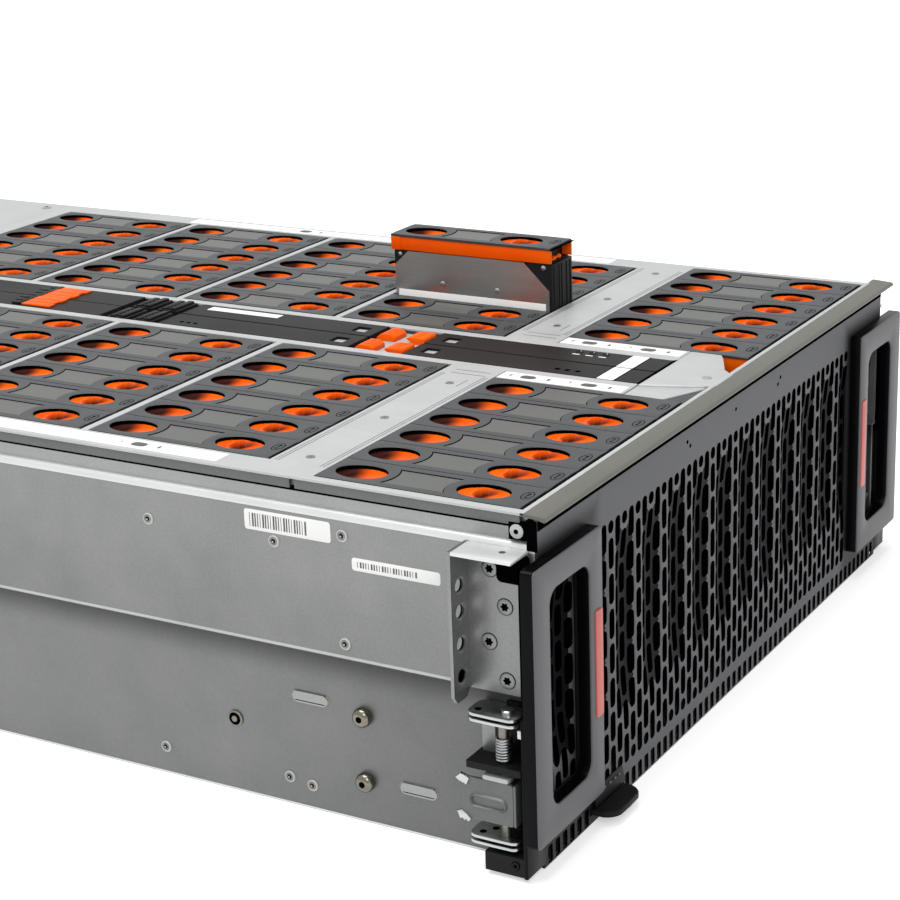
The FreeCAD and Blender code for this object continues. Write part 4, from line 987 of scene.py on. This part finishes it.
EAR_WEB = -225.3
EAR_OUT = -240.5
EAR_IN = -223.5
EAR_LOW = 86.5
EAR_HIGH = 158.0
EAR_FRONT = -426.0
EAR_FACE = -395.3
EAR_REAR = -393.5
EAR_HOLE_X = -232.5
EAR_HOLE_WIDE = 6.4
EAR_SINK_WIDE = 8.8
EAR_SINK_DEEP = 0.8
EAR_HOLES = (94.9, 110.775, 126.65, 139.35)
EAR_CUTS = (EAR_HOLES[0] - 7.9, *[sum(pair) / 2 for pair in zip(EAR_HOLES, EAR_HOLES[1:])], EAR_HOLES[-1] + 6.4)
EAR_FOOT = ((EAR_IN, EAR_CUTS[0]), (EAR_OUT, EAR_CUTS[0]), (EAR_OUT + 2.5, 83.4), (-229.0, 83.4),
            (-226.5, EAR_CUTS[0] - 0.2))
EAR_SCREWS = ((-406.9, 147.0), (-414.3, 129.6), (-405.7, 111.3), (-414.6, 93.4))
ears = bmesh.new()
block(ears, (EAR_WEB, EAR_FRONT, EAR_LOW), (EAR_IN, EAR_FACE + 0.5, EAR_HIGH - 1.0), 0.3)
# The flap on top, painted near white as lit by the ceiling light.
block(ears, (EAR_OUT, EAR_FRONT, EAR_HIGH - 1.8), (EAR_IN, EAR_FACE + 1.0, EAR_HIGH), 0.6, 3)
for z, low, high in zip(EAR_HOLES, EAR_CUTS, EAR_CUTS[1:]):
    cell = [ring(ears, facing_front((EAR_OUT + EAR_IN) / 2, y, (low + high) / 2), EAR_IN - EAR_OUT,
                 high - low, 0)
            for y in (EAR_FACE, EAR_REAR)]
    hole = [ring(ears, facing_front(EAR_HOLE_X, y, z), wide, wide)
            for y, wide in ((EAR_FACE, EAR_SINK_WIDE), (EAR_FACE + EAR_SINK_DEEP, EAR_HOLE_WIDE),
                            (EAR_REAR, EAR_HOLE_WIDE))]
    loft(ears, cell[:1] + hole[:1])
    loft(ears, hole[:2], 2)
    loft(ears, hole[1:] + cell[1:], 1)
block(ears, (EAR_OUT, EAR_FACE, EAR_CUTS[-1]), (EAR_IN, EAR_REAR, EAR_HIGH))
block(ears, (EAR_OUT, EAR_FACE, EAR_CUTS[0]), (EAR_OUT + 0.5, EAR_REAR, EAR_CUTS[-1]))
sweep(ears, EAR_FOOT, facing_front(0, EAR_REAR, 0), EAR_REAR - EAR_FACE)
for y, z in EAR_SCREWS:
    star_screw(ears, facing_left(EAR_WEB, y, z), 3.8)
disc(ears, at(-230.4, -416.4, EAR_HIGH - 0.03), 1.6, 0.05, finish=4)
mirrored(ears)
make_piece("ears", ears, (zinc_sheet, inner_black, bright_zinc, highlight_sheet, dull_steel), ["ear_brackets"])

bezel_ends = bmesh.new()
plate(bezel_ends, facing_left(EAR_WEB, -419.0, 149.0), 17.0, 15.0, 3.0, 0.9, 0.2, 1)
block(bezel_ends, (-226.2, -427.0, EAR_LOW), (EAR_WEB, -421.5, 150.0), 0.2, 1)
block(bezel_ends, (-222.6, -429.5, 2.6), (-220.6, -412.0, 82.0), 0.3)
block(bezel_ends, (-240.2, -430.6, 2.6), (-222.0, -428.6, 82.8), 0.3)
mirrored(bezel_ends)
make_piece("bezel_ends", bezel_ends, (black_gloss, inner_black))

LATCH_PIN = (-232.0, -415.5)
LATCH_HOLES = ((-232.0, -402.4, 79.88), (-233.6, -404.0, 18.58), (-228.4, -408.0, 18.58))
latches = bmesh.new()
for x, y, width, length, heights in (
        (-228.9, -411.2, 16.6, 26.4, (78.5, 75.6)), (-229.4, -411.5, 17.6, 27.0, (14.2, 17.2))):
    for z in heights:
        plate(latches, at(x, y, z), width, length, 5.0, 1.4, 0.35)
turned(latches, at(-230.4, -417.0, 79.9), ((3.2, 0), (3.2, 1.6), (2.6, 2.1)))
for hole in LATCH_HOLES:
    disc(latches, at(*hole), 1.7, 0.06, finish=1)
block(latches, (-226.6, -408.0, 56.0), (-225.4, -401.0, 76.0), 0.2, 2)
block(latches, (-236.0, -428.6, 71.0), (-227.0, -424.5, 75.2), 0.4)
mirrored(latches)
make_piece("latch_plates", latches, (bright_zinc, inner_black, zinc_sheet), ["latch_brackets"])

springs = bmesh.new()
coil(springs, *LATCH_PIN, 57.2, 68.6, 3.4, 0.72, 8)
mirrored(springs)
make_piece("springs", springs, (bright_zinc,), ["latch_springs"])

LEVER_FACE = -238.4
LEVER_SLOT = ((-0.1, 0), (1.0, 0.5), (1.4, 1.0), (0.7, 1.5), (-0.6, 2.0), (-0.6, 2.3))
for side, sign in SIDES:
    lever = bmesh.new()
    place = facing_left(LEVER_FACE, -409.4, 37.4)
    plate(lever, place @ at(0, 0, -1.4), 27.0, 21.4, 1.6, 1.4, 0.4)
    loft(lever, [ring(lever, place @ at(0.6, -0.6, lift), 20.0 - 2 * inset, 7.4 - 2 * inset, 3.6 - inset)
                 for lift, inset in LEVER_SLOT], 0, (-1,))
    block(lever, (LEVER_FACE, -424.3, 27.0), (-228.5, -422.9, 47.9), 0.4)
    block(lever, (-238.2, -420.4, 47.2), (-229.0, -406.6, 50.6), 1.2, 1)
    for z, tilt in ((46.6, 35), (27.6, -35)):
        for step in (-1, 0, 1):
            y, rise = 1.6 * step, z + 0.5 * step
            turn = (Matrix.Rotation(math.radians(tilt + 12 * step), 4, "X")
                    @ Matrix.Rotation(math.radians(14 * step), 4, "Z"))
            block(lever, (-238.9, y - 398.4, rise - 2.0), (-237.0, y - 395.6, rise + 2.0), 0.3, 2, turn)
    rod(lever, (*LATCH_PIN, 27.6), (*LATCH_PIN, 47.4), 4.4, 20, 0.4)
    block(lever, (-237.4, -419.0, 30.0), (-230.0, -412.0, 45.0), 0.5)
    if sign > 0:
        bmesh.ops.scale(lever, vec=(-1, 1, 1), verts=lever.verts)
    make_piece(f"lever_plate_{side}", lever, (shaded_sheet, lit_sheet, bright_zinc), [f"latch_lever_{side}"],
               body=f"latch_lever_{side}")

corner_screws = bmesh.new()
star_screw(corner_screws, facing_left(-239.0, -423.8, 8.0), 1.9)
mirrored(corner_screws)
make_piece("corner_screws", corner_screws, (black_abs, inner_black))


# Spine, bars and labels on top

PRINT = DECK - 0.05
EJECTOR_MIDDLE = 12.0
EJECTOR_WIDTH = 14.0
EJECTOR_PROFILES = {
    "front": ((-238.3, 171.8), (-238.3, 174.6), (-237.4, 175.8), (-230.0, 175.8), (-226.0, 175.0),
              (-227.4, 173.6), (-230.0, 172.8), (-230.6, 171.8)),
    "rear": ((-206.7, 171.8), (-206.7, 173.6), (-209.6, 175.8), (-215.6, 175.8), (-218.4, 174.2),
             (-218.4, 171.8)),
}
for end, profile in EJECTOR_PROFILES.items():
    front, rear = min(y for y, z in profile), max(y for y, z in profile)
    for side, sign in SIDES:
        shape = bmesh.new()
        x = sign * EJECTOR_MIDDLE
        sweep(shape, [(-y, z) for y, z in profile], facing_left(x + EJECTOR_WIDTH / 2, 0, 0), EJECTOR_WIDTH,
              soft=0.35)
        for rib in (x - 3.6, x, x + 3.6):
            block(shape, (rib - 0.6, front + 3.4, 175.5), (rib + 0.6, rear - 4.4, 176.1), 0.25)
        ejector = f"ejector_{end}_{side}"
        make_piece(f"ejector_tab_{end}_{side}", shape, (latch_acetal,), [ejector], ejector)

harness = bmesh.new()
for near, far in ((-23.4, -2.0), (2.0, 23.4)):
    for front, rear in ((-67.5, -52.5), (-48.5, -33.5)):
        block(harness, (near, front, 171.5), (far, rear, 175.2), 0.5)
        block(harness, (near + 1, front + 2, 174.6), (far - 1, front + 6, 176.5), 0.4)
        block(harness, (near + 1, rear - 6, 174.6), (far - 1, rear - 2, 176.0), 0.4)
        for step in range(5):
            x = near + 3.4 + 3.6 * step
            block(harness, (x - 1.1, front + 6.5, 174.8), (x + 1.1, rear - 6.5, 175.9), 0.3)
for step in range(7):
    x = -19.0 + 6.2 * step
    block(harness, (x - 2.4, 35.0, 174.8), (x + 2.4, 42.0 + 2.0 * (step % 3), 176.2), 0.5)
block(harness, (-21.0, 34.2, 174.6), (21.0, 37.5, 176.3), 0.5)
make_piece("harness", harness, (black_abs,), ["spine_harness"])

ribbon = bmesh.new()
for step in range(7):
    x = -18.0 + 6.0 * step
    block(ribbon, (x - 3.05, 12.6 + 1.4 * (step % 2), 174.8), (x + 3.05, 34.4, 175.9 + 0.12 * (step % 3)), 0.3)
make_piece("ribbon", ribbon, (latch_acetal,))

window_plates = bmesh.new()
for x in (-11.7, 11.7):
    for y in (-252.5, -192.5):
        block(window_plates, (x - 4.4, y - 4.4, 171.6), (x + 4.4, y + 4.4, 173.6), 0.3)
block(window_plates, (-22.6, -240.0, 171.5), (22.6, -205.0, 171.75))
make_piece("window_plates", window_plates, (lit_sheet,))

spine_marks = bmesh.new()
for radius, places in ((1.6, (-333.8, -339.7, -346.0)), (1.4, (-84.0, -89.0, -94.0))):
    for y in places:
        disc(spine_marks, at(-15.8, y, DECK - 0.02), radius, 0.06, finish=1)
for x in (-11.9, 11.9):
    plate(spine_marks, at(x, -365.5, DECK - 0.04), 22.8, 10.0, 0.8, 0.1, 0.04, 2)
    for y in (-370.8, -360.2):
        block(spine_marks, (x - 11.4, y - 0.4, DECK - 0.1), (x + 11.4, y + 0.4, DECK + 0.05), finish=1)
block(spine_marks, (-23.4, -386.4, 173.5), (23.4, -384.4, 175.3), 0.3, 1)
for y in (-330.0, -338.0, -346.0):
    wire_ring(spine_marks, at(18.4, y, DECK), 2.0, 0.25, 2)
    block(spine_marks, (13.2, y - 2.2, PRINT), (14.4, y + 2.2, DECK + 0.05), finish=2)
block(spine_marks, (13.0, -132.5, PRINT), (20.0, -81.5, DECK + 0.06), finish=2)
make_piece("spine_marks", spine_marks, (cover_abs, inner_black, label_paper))

INK = DECK + 0.05
LABELS = (
    (36.6, -347.5, 11.4, 73.0, ((-363.0, 12.0), (-327.0, 10.0))),
    (214.6, -90.0, 12.0, 330.0, ((-205.0, 12.0), (-20.0, 12.0))))
labels = bmesh.new()
for sign in (-1, 1):
    for out, middle, width, length, prints in LABELS:
        x = sign * out
        plate(labels, at(x, middle, PRINT), width, length, 1.0, 0.12, 0.05)
        for y, along in prints:
            # Plain printed marks: two bars, a filled oval and an open one
            block(labels, (x - 1.6, y - 13, INK), (x + 1.6, y - 11.4, INK + 0.04), finish=1)
            block(labels, (x - 1.0, y + 10, INK), (x + 1.4, y + 11.2, INK + 0.04), finish=1)
            plate(labels, at(x, y, INK), 5.6, 9.0, 2.7, 0.05, 0.02, 1)
            wire_ring(labels, at(x, y + along, INK), 2.0, 0.22, 1)
make_piece("labels", labels, (label_paper, grey_ink))

LINE_LOW = DECK - 0.1
LINE_HIGH = DECK + 0.08
bar_lines = bmesh.new()
for y in (-307.4, -305.6, -281.4, -279.6):
    block(bar_lines, (46.0, y - 0.25, LINE_LOW), (206.0, y + 0.25, LINE_HIGH))
block(bar_lines, (54.0, -300.0, LINE_LOW), (66.0, -299.5, LINE_HIGH))
for x in (38.0, 44.0):
    block(bar_lines, (x - 0.3, -305.0, LINE_LOW), (x + 0.3, -284.0, LINE_HIGH))
for x in (62.0, 128.0, 196.0):
    turned(bar_lines, at(x, -293.5, PRINT), ((2.4, 0), (2.3, 0.3), (1.6, 0.45)), 16)
    disc(bar_lines, at(x, -293.5, PRINT + 0.45), 0.9, 0.05, 10, 1)
mirrored(bar_lines)
make_piece("bar_lines", bar_lines, (zinc_sheet, dull_steel))

GUSSET_FOLD = ((-25.2, -386.0), (-14.2, -419.6))
GUSSET_WEB = (*GUSSET_FOLD, (-11.1, -424.2), (10.3, -424.2), (17.5, -416.7), (37.0, -407.4), (42.8, -404.0),
              (42.8, -386.0))
GUSSET_FLAP = (GUSSET_FOLD[0], (-43.2, -386.0), (-43.2, -407.3), (-17.7, -420.1), GUSSET_FOLD[1])
GUSSET_FILLER = ((-43.2, -407.6), (-43.2, -423.6), (-13.0, -423.6), (-17.7, -420.6))
gusset = bmesh.new()
sweep(gusset, GUSSET_WEB, at(0, 0, 173.6), 1.5, soft=0.3)
sweep(gusset, GUSSET_FLAP, at(0, 0, 173.2), 1.4, soft=0.3)
rod(gusset, (-25.6, -386.6, 174.7), (-14.8, -419.2, 174.7), 0.9, 12, 0.2)
block(gusset, (-24.5, -386.6, 173.4), (24.5, -385.0, 175.1), 0.2, 2)
turned(gusset, at(0, -414.0, 174.9), ((2.6, 0), (2.6, 0.5), (1.8, 0.9)), finish=1)
sweep(gusset, GUSSET_FILLER, at(0, 0, 172.6), 1.4, 3, soft=0.2)
make_piece("gusset_folds", gusset, (lit_sheet, bright_zinc, inner_black, cap_abs), ["front_gusset"])


# Rear: fan guards, sockets, vents and the cover's screws

FAN_PLACES = (42.0, 126.0)
FAN_HIGH = 130.0
FAN_TRIM = ((40.4, 0.0), (40.4, 0.7), (40.0, 1.1), (37.0, 1.1), (36.4, 0.7), (36.4, -1.6))
GUARD_LIFT = 2.2
GUARD_RINGS = (9.0, 16.0, 23.0, 30.0)
GUARD_WIRE = 0.8
GUARD_SCREW = 50.6
guards = bmesh.new()
for x in FAN_PLACES:
    fan = facing_rear(x, REAR, FAN_HIGH)
    loft(guards, [ring(guards, fan @ at(0, 0, lift), 2 * radius, 2 * radius, sides=48)
                  for radius, lift in FAN_TRIM])
    for radius in GUARD_RINGS:
        wire_ring(guards, fan @ at(0, 0, GUARD_LIFT), radius, GUARD_WIRE, 1)
    for quarter in range(4):
        arm = fan @ Matrix.Rotation(QUARTER * (quarter + 0.5), 4, "Z") @ at(0, 0, GUARD_LIFT - 1.1)
        rod(guards, arm @ Vector((7.0, 0, 0)), arm @ Vector((51.0, 0, 0)), GUARD_WIRE, 8, finish=1)
        turned(guards, arm @ at(GUARD_SCREW, 0, 0.3 - GUARD_LIFT), ((3.4, 0), (3.4, 1.6), (2.4, 2.3)), finish=1)
        disc(guards, arm @ at(GUARD_SCREW, 0, 2.61 - GUARD_LIFT), 1.3, 0.06, 12, 2)
mirrored(guards)
make_piece("fan_guards", guards, (lit_sheet, bright_zinc, inner_black))

PORT_WIDTH = 26.0
PORT_HEIGHT = 18.0
PORT_MIDDLE = 19.3
PORT_FLOOR = 411.5
INLET_STEPS = ((0.2, 2.6), (9.4, 2.6), (9.9, 1.9), (9.9, 0.2), (0.2, 0.2))
CAGE_STEPS = ((0.2, 1.3), (10.6, 1.3), (10.9, 0.9), (10.6, 0.2), (0.2, 0.2))
PSU_MIDDLE = 171.0
IO_MIDDLE = 58.0
VENT_PITCH = 5.0


def vent_rows(shape, middle, spread, low, rows):
    """Rows of long vents, painted dark as shade, on both sides of a module's bail."""
    for row in range(rows):
        for x in (middle - spread, middle + spread):
            plate(shape, facing_rear(x, REAR, low + VENT_PITCH * row), 18.0, 2.4, 1.15, 0.06, 0.02, 1)


def socket_screw(shape, place, head, socket, sides=20, finish=0):
    """A screw's head, in steps of radius and height, with a six-sided socket painted dark as shade."""
    turned(shape, place, head, sides, finish)
    disc(shape, place @ at(0, 0, head[-1][1]), socket, 0.06, 6, 1)


for side, sign in SIDES:
    power = bmesh.new()
    x = sign * PSU_MIDDLE
    inlet = facing_rear(x, PORT_FLOOR, PORT_MIDDLE)
    loft(power, rims(power, inlet, PORT_WIDTH, PORT_HEIGHT, 2.2, INLET_STEPS, 32))
    plate(power, inlet @ at(0, 0, 0.1), 21.0, 13.0, 2.0, 0.3, 0.1, 1)
    for pin, z in ((x - 6.0, PORT_MIDDLE - 1.6), (x, PORT_MIDDLE + 2.4), (x + 6.0, PORT_MIDDLE - 1.6)):
        block(power, (pin - 0.9, PORT_FLOOR + 0.3, z - 2.0), (pin + 0.9, PORT_FLOOR + 7.5, z + 2.0), 0.3, 2)
    vent_rows(power, x, 29.0, 12.0, 6)
    turned(power, facing_rear(x + 16.5, REAR, 40.4), ((1.5, 0), (1.5, 0.3), (1.0, 0.6)), finish=3)
    block(power, (x - 38.0, REAR, 38.8), (x - 22.0, REAR + 3.2, 42.2), 0.6, 4)
    make_piece(f"psu_face_{side}", power, (black_abs, inner_black, bright_zinc, lamp_lens, latch_acetal),
               body=f"psu_{side}")

    sockets = bmesh.new()
    x = sign * IO_MIDDLE
    for port in (x - 32.0, x, x + 32.0):
        cage = facing_rear(port, PORT_FLOOR, PORT_MIDDLE)
        loft(sockets, rims(sockets, cage, PORT_WIDTH, PORT_HEIGHT, 0.8, CAGE_STEPS, 16), 2)
        plate(sockets, cage @ at(0, 0, 0.1), 25.0, 17.0, 0.6, 0.3, 0.1, 1)
        block(sockets, (port - 11.7, PORT_FLOOR + 0.3, PORT_MIDDLE - 0.5),
              (port + 11.7, PORT_FLOOR + 10.4, PORT_MIDDLE + 0.5), 0.2, 2)
        for lamp in (port - 8.0, port + 8.0):
            turned(sockets, facing_rear(lamp, REAR, 31.6), ((1.1, 0), (1.1, 0.2), (0.7, 0.4)), 14, 3)
    vent_rows(sockets, x, 38.0, 42.0, 6)
    vent_rows(sockets, x, 12.0, 42.0, 5)
    for out in (-49.0, 49.0):
        thumb = facing_rear(x + out, REAR, 79.0)
        socket_screw(sockets, thumb, ((3.6, 0), (3.6, 5.0), (3.0, 5.8)), 1.6, 24, 2)
    make_piece(f"io_face_{side}", sockets, (black_abs, inner_black, bright_zinc, lamp_lens),
               body=f"io_module_{side}")

PANEL_SCREWS = ((205.0, 164.0), (84.0, 164.0), (205.0, 60.0), (205.0, 96.0))
rear_fixings = bmesh.new()
for x in (40.0, 125.0, 210.0):
    for y in (206.0, 308.0, 410.0):
        socket_screw(rear_fixings, at(x, y, DECK), ((3.6, 0), (3.6, 0.4), (2.6, 0.9)), 1.2)
for x, z in PANEL_SCREWS:
    socket_screw(rear_fixings, facing_rear(x, REAR, z), ((3.0, 0), (3.0, 0.4), (2.2, 0.9)), 1.1)
for x in (135.0, 157.0, 179.0):
    for z in (56.0, 63.0, 70.0, 77.0):
        plate(rear_fixings, facing_rear(x, REAR, z), 18.0, 3.4, 1.6, 0.06, 0.02, 1)
mirrored(rear_fixings)
for y in (240.0, 308.0, 376.0):
    plate(rear_fixings, at(0, y, DECK - 0.05), 330.0, 16.0, 7.5, 0.9, 0.8, 2)
make_piece("rear_fixings", rear_fixings, (bright_zinc, inner_black, lit_sheet))


# Solids that keep their own shape: a finish, and edges rounded a little so that they catch light

WELD_REACH = 0.001
BEVEL_FROM = math.radians(40)
CAD_FINISHES = (
    (wall_sheet, 0.5, ("chassis_tray",)),
    (lit_sheet, 0.35,
     ("top_rails", "crossbars", "bay_dividers", "spine_rails", "spine_channel", "rear_cover")),
    (dull_steel, 0.3, ("latch_pins",)),
    (drive_cast, 0.8, ("seated_drives",)),
    (cover_abs, 0.5, ("spine_covers",)),
    (black_abs, 0.4,
     ("latch_blocks", "fan_frames", *[f"fan_rotor_{number}" for number in range(1, 5)])),
    (board_mask, 0.0, ("backplanes",)),
    (module_case, 0.5, ("rear_panel", "psu_left", "psu_right", "io_module_left", "io_module_right")),
)
for finish, soft, names in CAD_FINISHES:
    for name in names:
        node = nodes[name]
        node.data.materials.clear()
        node.data.materials.append(finish)
        if soft and not node.hide_render:
            weld = node.modifiers.new("merge", "WELD")
            weld.merge_threshold = WELD_REACH * MM
            bevel = node.modifiers.new("rounded_edges", "BEVEL")
            bevel.width = soft * MM
            bevel.segments = ROUNDING_STEPS
            bevel.limit_method = "ANGLE"
            bevel.angle_limit = BEVEL_FROM


# Stage: white floor and surroundings, one large soft lamp overhead and one from the front left

WHITE = (1.0, 1.0, 1.0, 1.0)
FLOOR_HALF = 8.0
GLOW_FADE = {"From Min": 1.0, "From Max": 3.0, "To Min": 0.5, "To Max": 1.0}
AMBIENT = 0.46


def in_sight(tree):
    """1 for rays that come from the camera, straight or by way of a mirror or a clear piece, else 0."""
    path = add_node(tree, "ShaderNodeLightPath").outputs
    seen = reckoned(tree, "MAXIMUM", path["Is Camera Ray"], path["Is Glossy Ray"])
    return reckoned(tree, "MAXIMUM", seen, path["Is Transmission Ray"])


floor_shape = bmesh.new()
bmesh.ops.create_grid(floor_shape, x_segments=1, y_segments=1, size=FLOOR_HALF)
floor_mesh = bpy.data.meshes.new("floor")
floor_shape.to_mesh(floor_mesh)
floor_shape.free()
floor = bpy.data.objects.new("floor", floor_mesh)
bpy.context.scene.collection.objects.link(floor)

# Studio paper: white, matte, it takes the soft shadow under the case and shows white to the camera.
floor_paper, tree, shader, place = start_finish("floor_paper", Roughness=0.9, Specular_IOR_Level=0.0)
paper = toned(tree, speckle(tree, place, 3, 2.0), "#F6F6F6", "#FAFAFA", (0.0, 1.0))
tree.links.new(paper, shader.inputs["Base Color"])
shader.inputs["Emission Color"].default_value = WHITE
reach = add_node(tree, "ShaderNodeVectorMath", links={0: place}, operation="LENGTH")
fade = add_node(tree, "ShaderNodeMapRange", GLOW_FADE, {"Value": reach.outputs["Value"]})
glow = reckoned(tree, "MULTIPLY", in_sight(tree), fade.outputs["Result"])
tree.links.new(glow, shader.inputs["Emission Strength"])
floor_mesh.materials.append(floor_paper)

world = bpy.data.worlds.new("white_surroundings")
bpy.context.scene.world = world
world.use_nodes = True
tree = world.node_tree
tree.nodes.clear()
lit, white = [
    add_node(tree, "ShaderNodeBackground", {"Color": WHITE, "Strength": strength}).outputs["Background"]
    for strength in (AMBIENT, 1.0)]
both = add_node(tree, "ShaderNodeMixShader", links={0: in_sight(tree), 1: lit, 2: white})
add_node(tree, "ShaderNodeOutputWorld", links={"Surface": both.outputs["Shader"]})


def soft_lamp(name, place, target, size, power):
    """A round lamp of a size in metres and a power in watts, aimed at a target."""
    lamp = bpy.data.lights.new(name, "AREA")
    lamp.shape = "DISK"
    lamp.size = size
    lamp.energy = power
    holder = bpy.data.objects.new(name, lamp)
    holder.location = place
    holder.rotation_euler = (Vector(target) - Vector(place)).to_track_quat("-Z", "Y").to_euler()
    bpy.context.scene.collection.objects.link(holder)


soft_lamp("overhead_lamp", (-0.5, 0.1, 2.4), (0.0, 0.0, 0.1), 1.8, 46.0)
soft_lamp("left_lamp", (-2.0, -1.5, 1.9), (0.0, -0.2, 0.1), 1.2, 16.0)

YAW = math.radians(59.49)
PITCH_DOWN = math.radians(18.37)
ROLL = math.radians(-2.03)
CAMERA_PLACE = (-1.0299, -0.8626, 0.5105)
flat = math.cos(PITCH_DOWN)
sight = Vector((math.sin(YAW) * flat, math.cos(YAW) * flat, -math.sin(PITCH_DOWN)))
level = Vector((math.cos(YAW), -math.sin(YAW), 0.0))
upright = level.cross(sight)
across = math.cos(ROLL) * level + math.sin(ROLL) * upright
above = math.cos(ROLL) * upright - math.sin(ROLL) * level
turn = Matrix((across, above, -sight)).transposed().to_4x4()
camera = bpy.data.cameras.new("camera")
camera.sensor_width = 36.0
camera.lens = 88.55
camera.clip_start = 0.02
camera.clip_end = 50.0
holder = bpy.data.objects.new("camera", camera)
holder.matrix_world = Matrix.Translation(CAMERA_PLACE) @ turn
bpy.context.scene.collection.objects.link(holder)
bpy.context.scene.camera = holder
bpy.context.scene.view_settings.view_transform = "Standard"
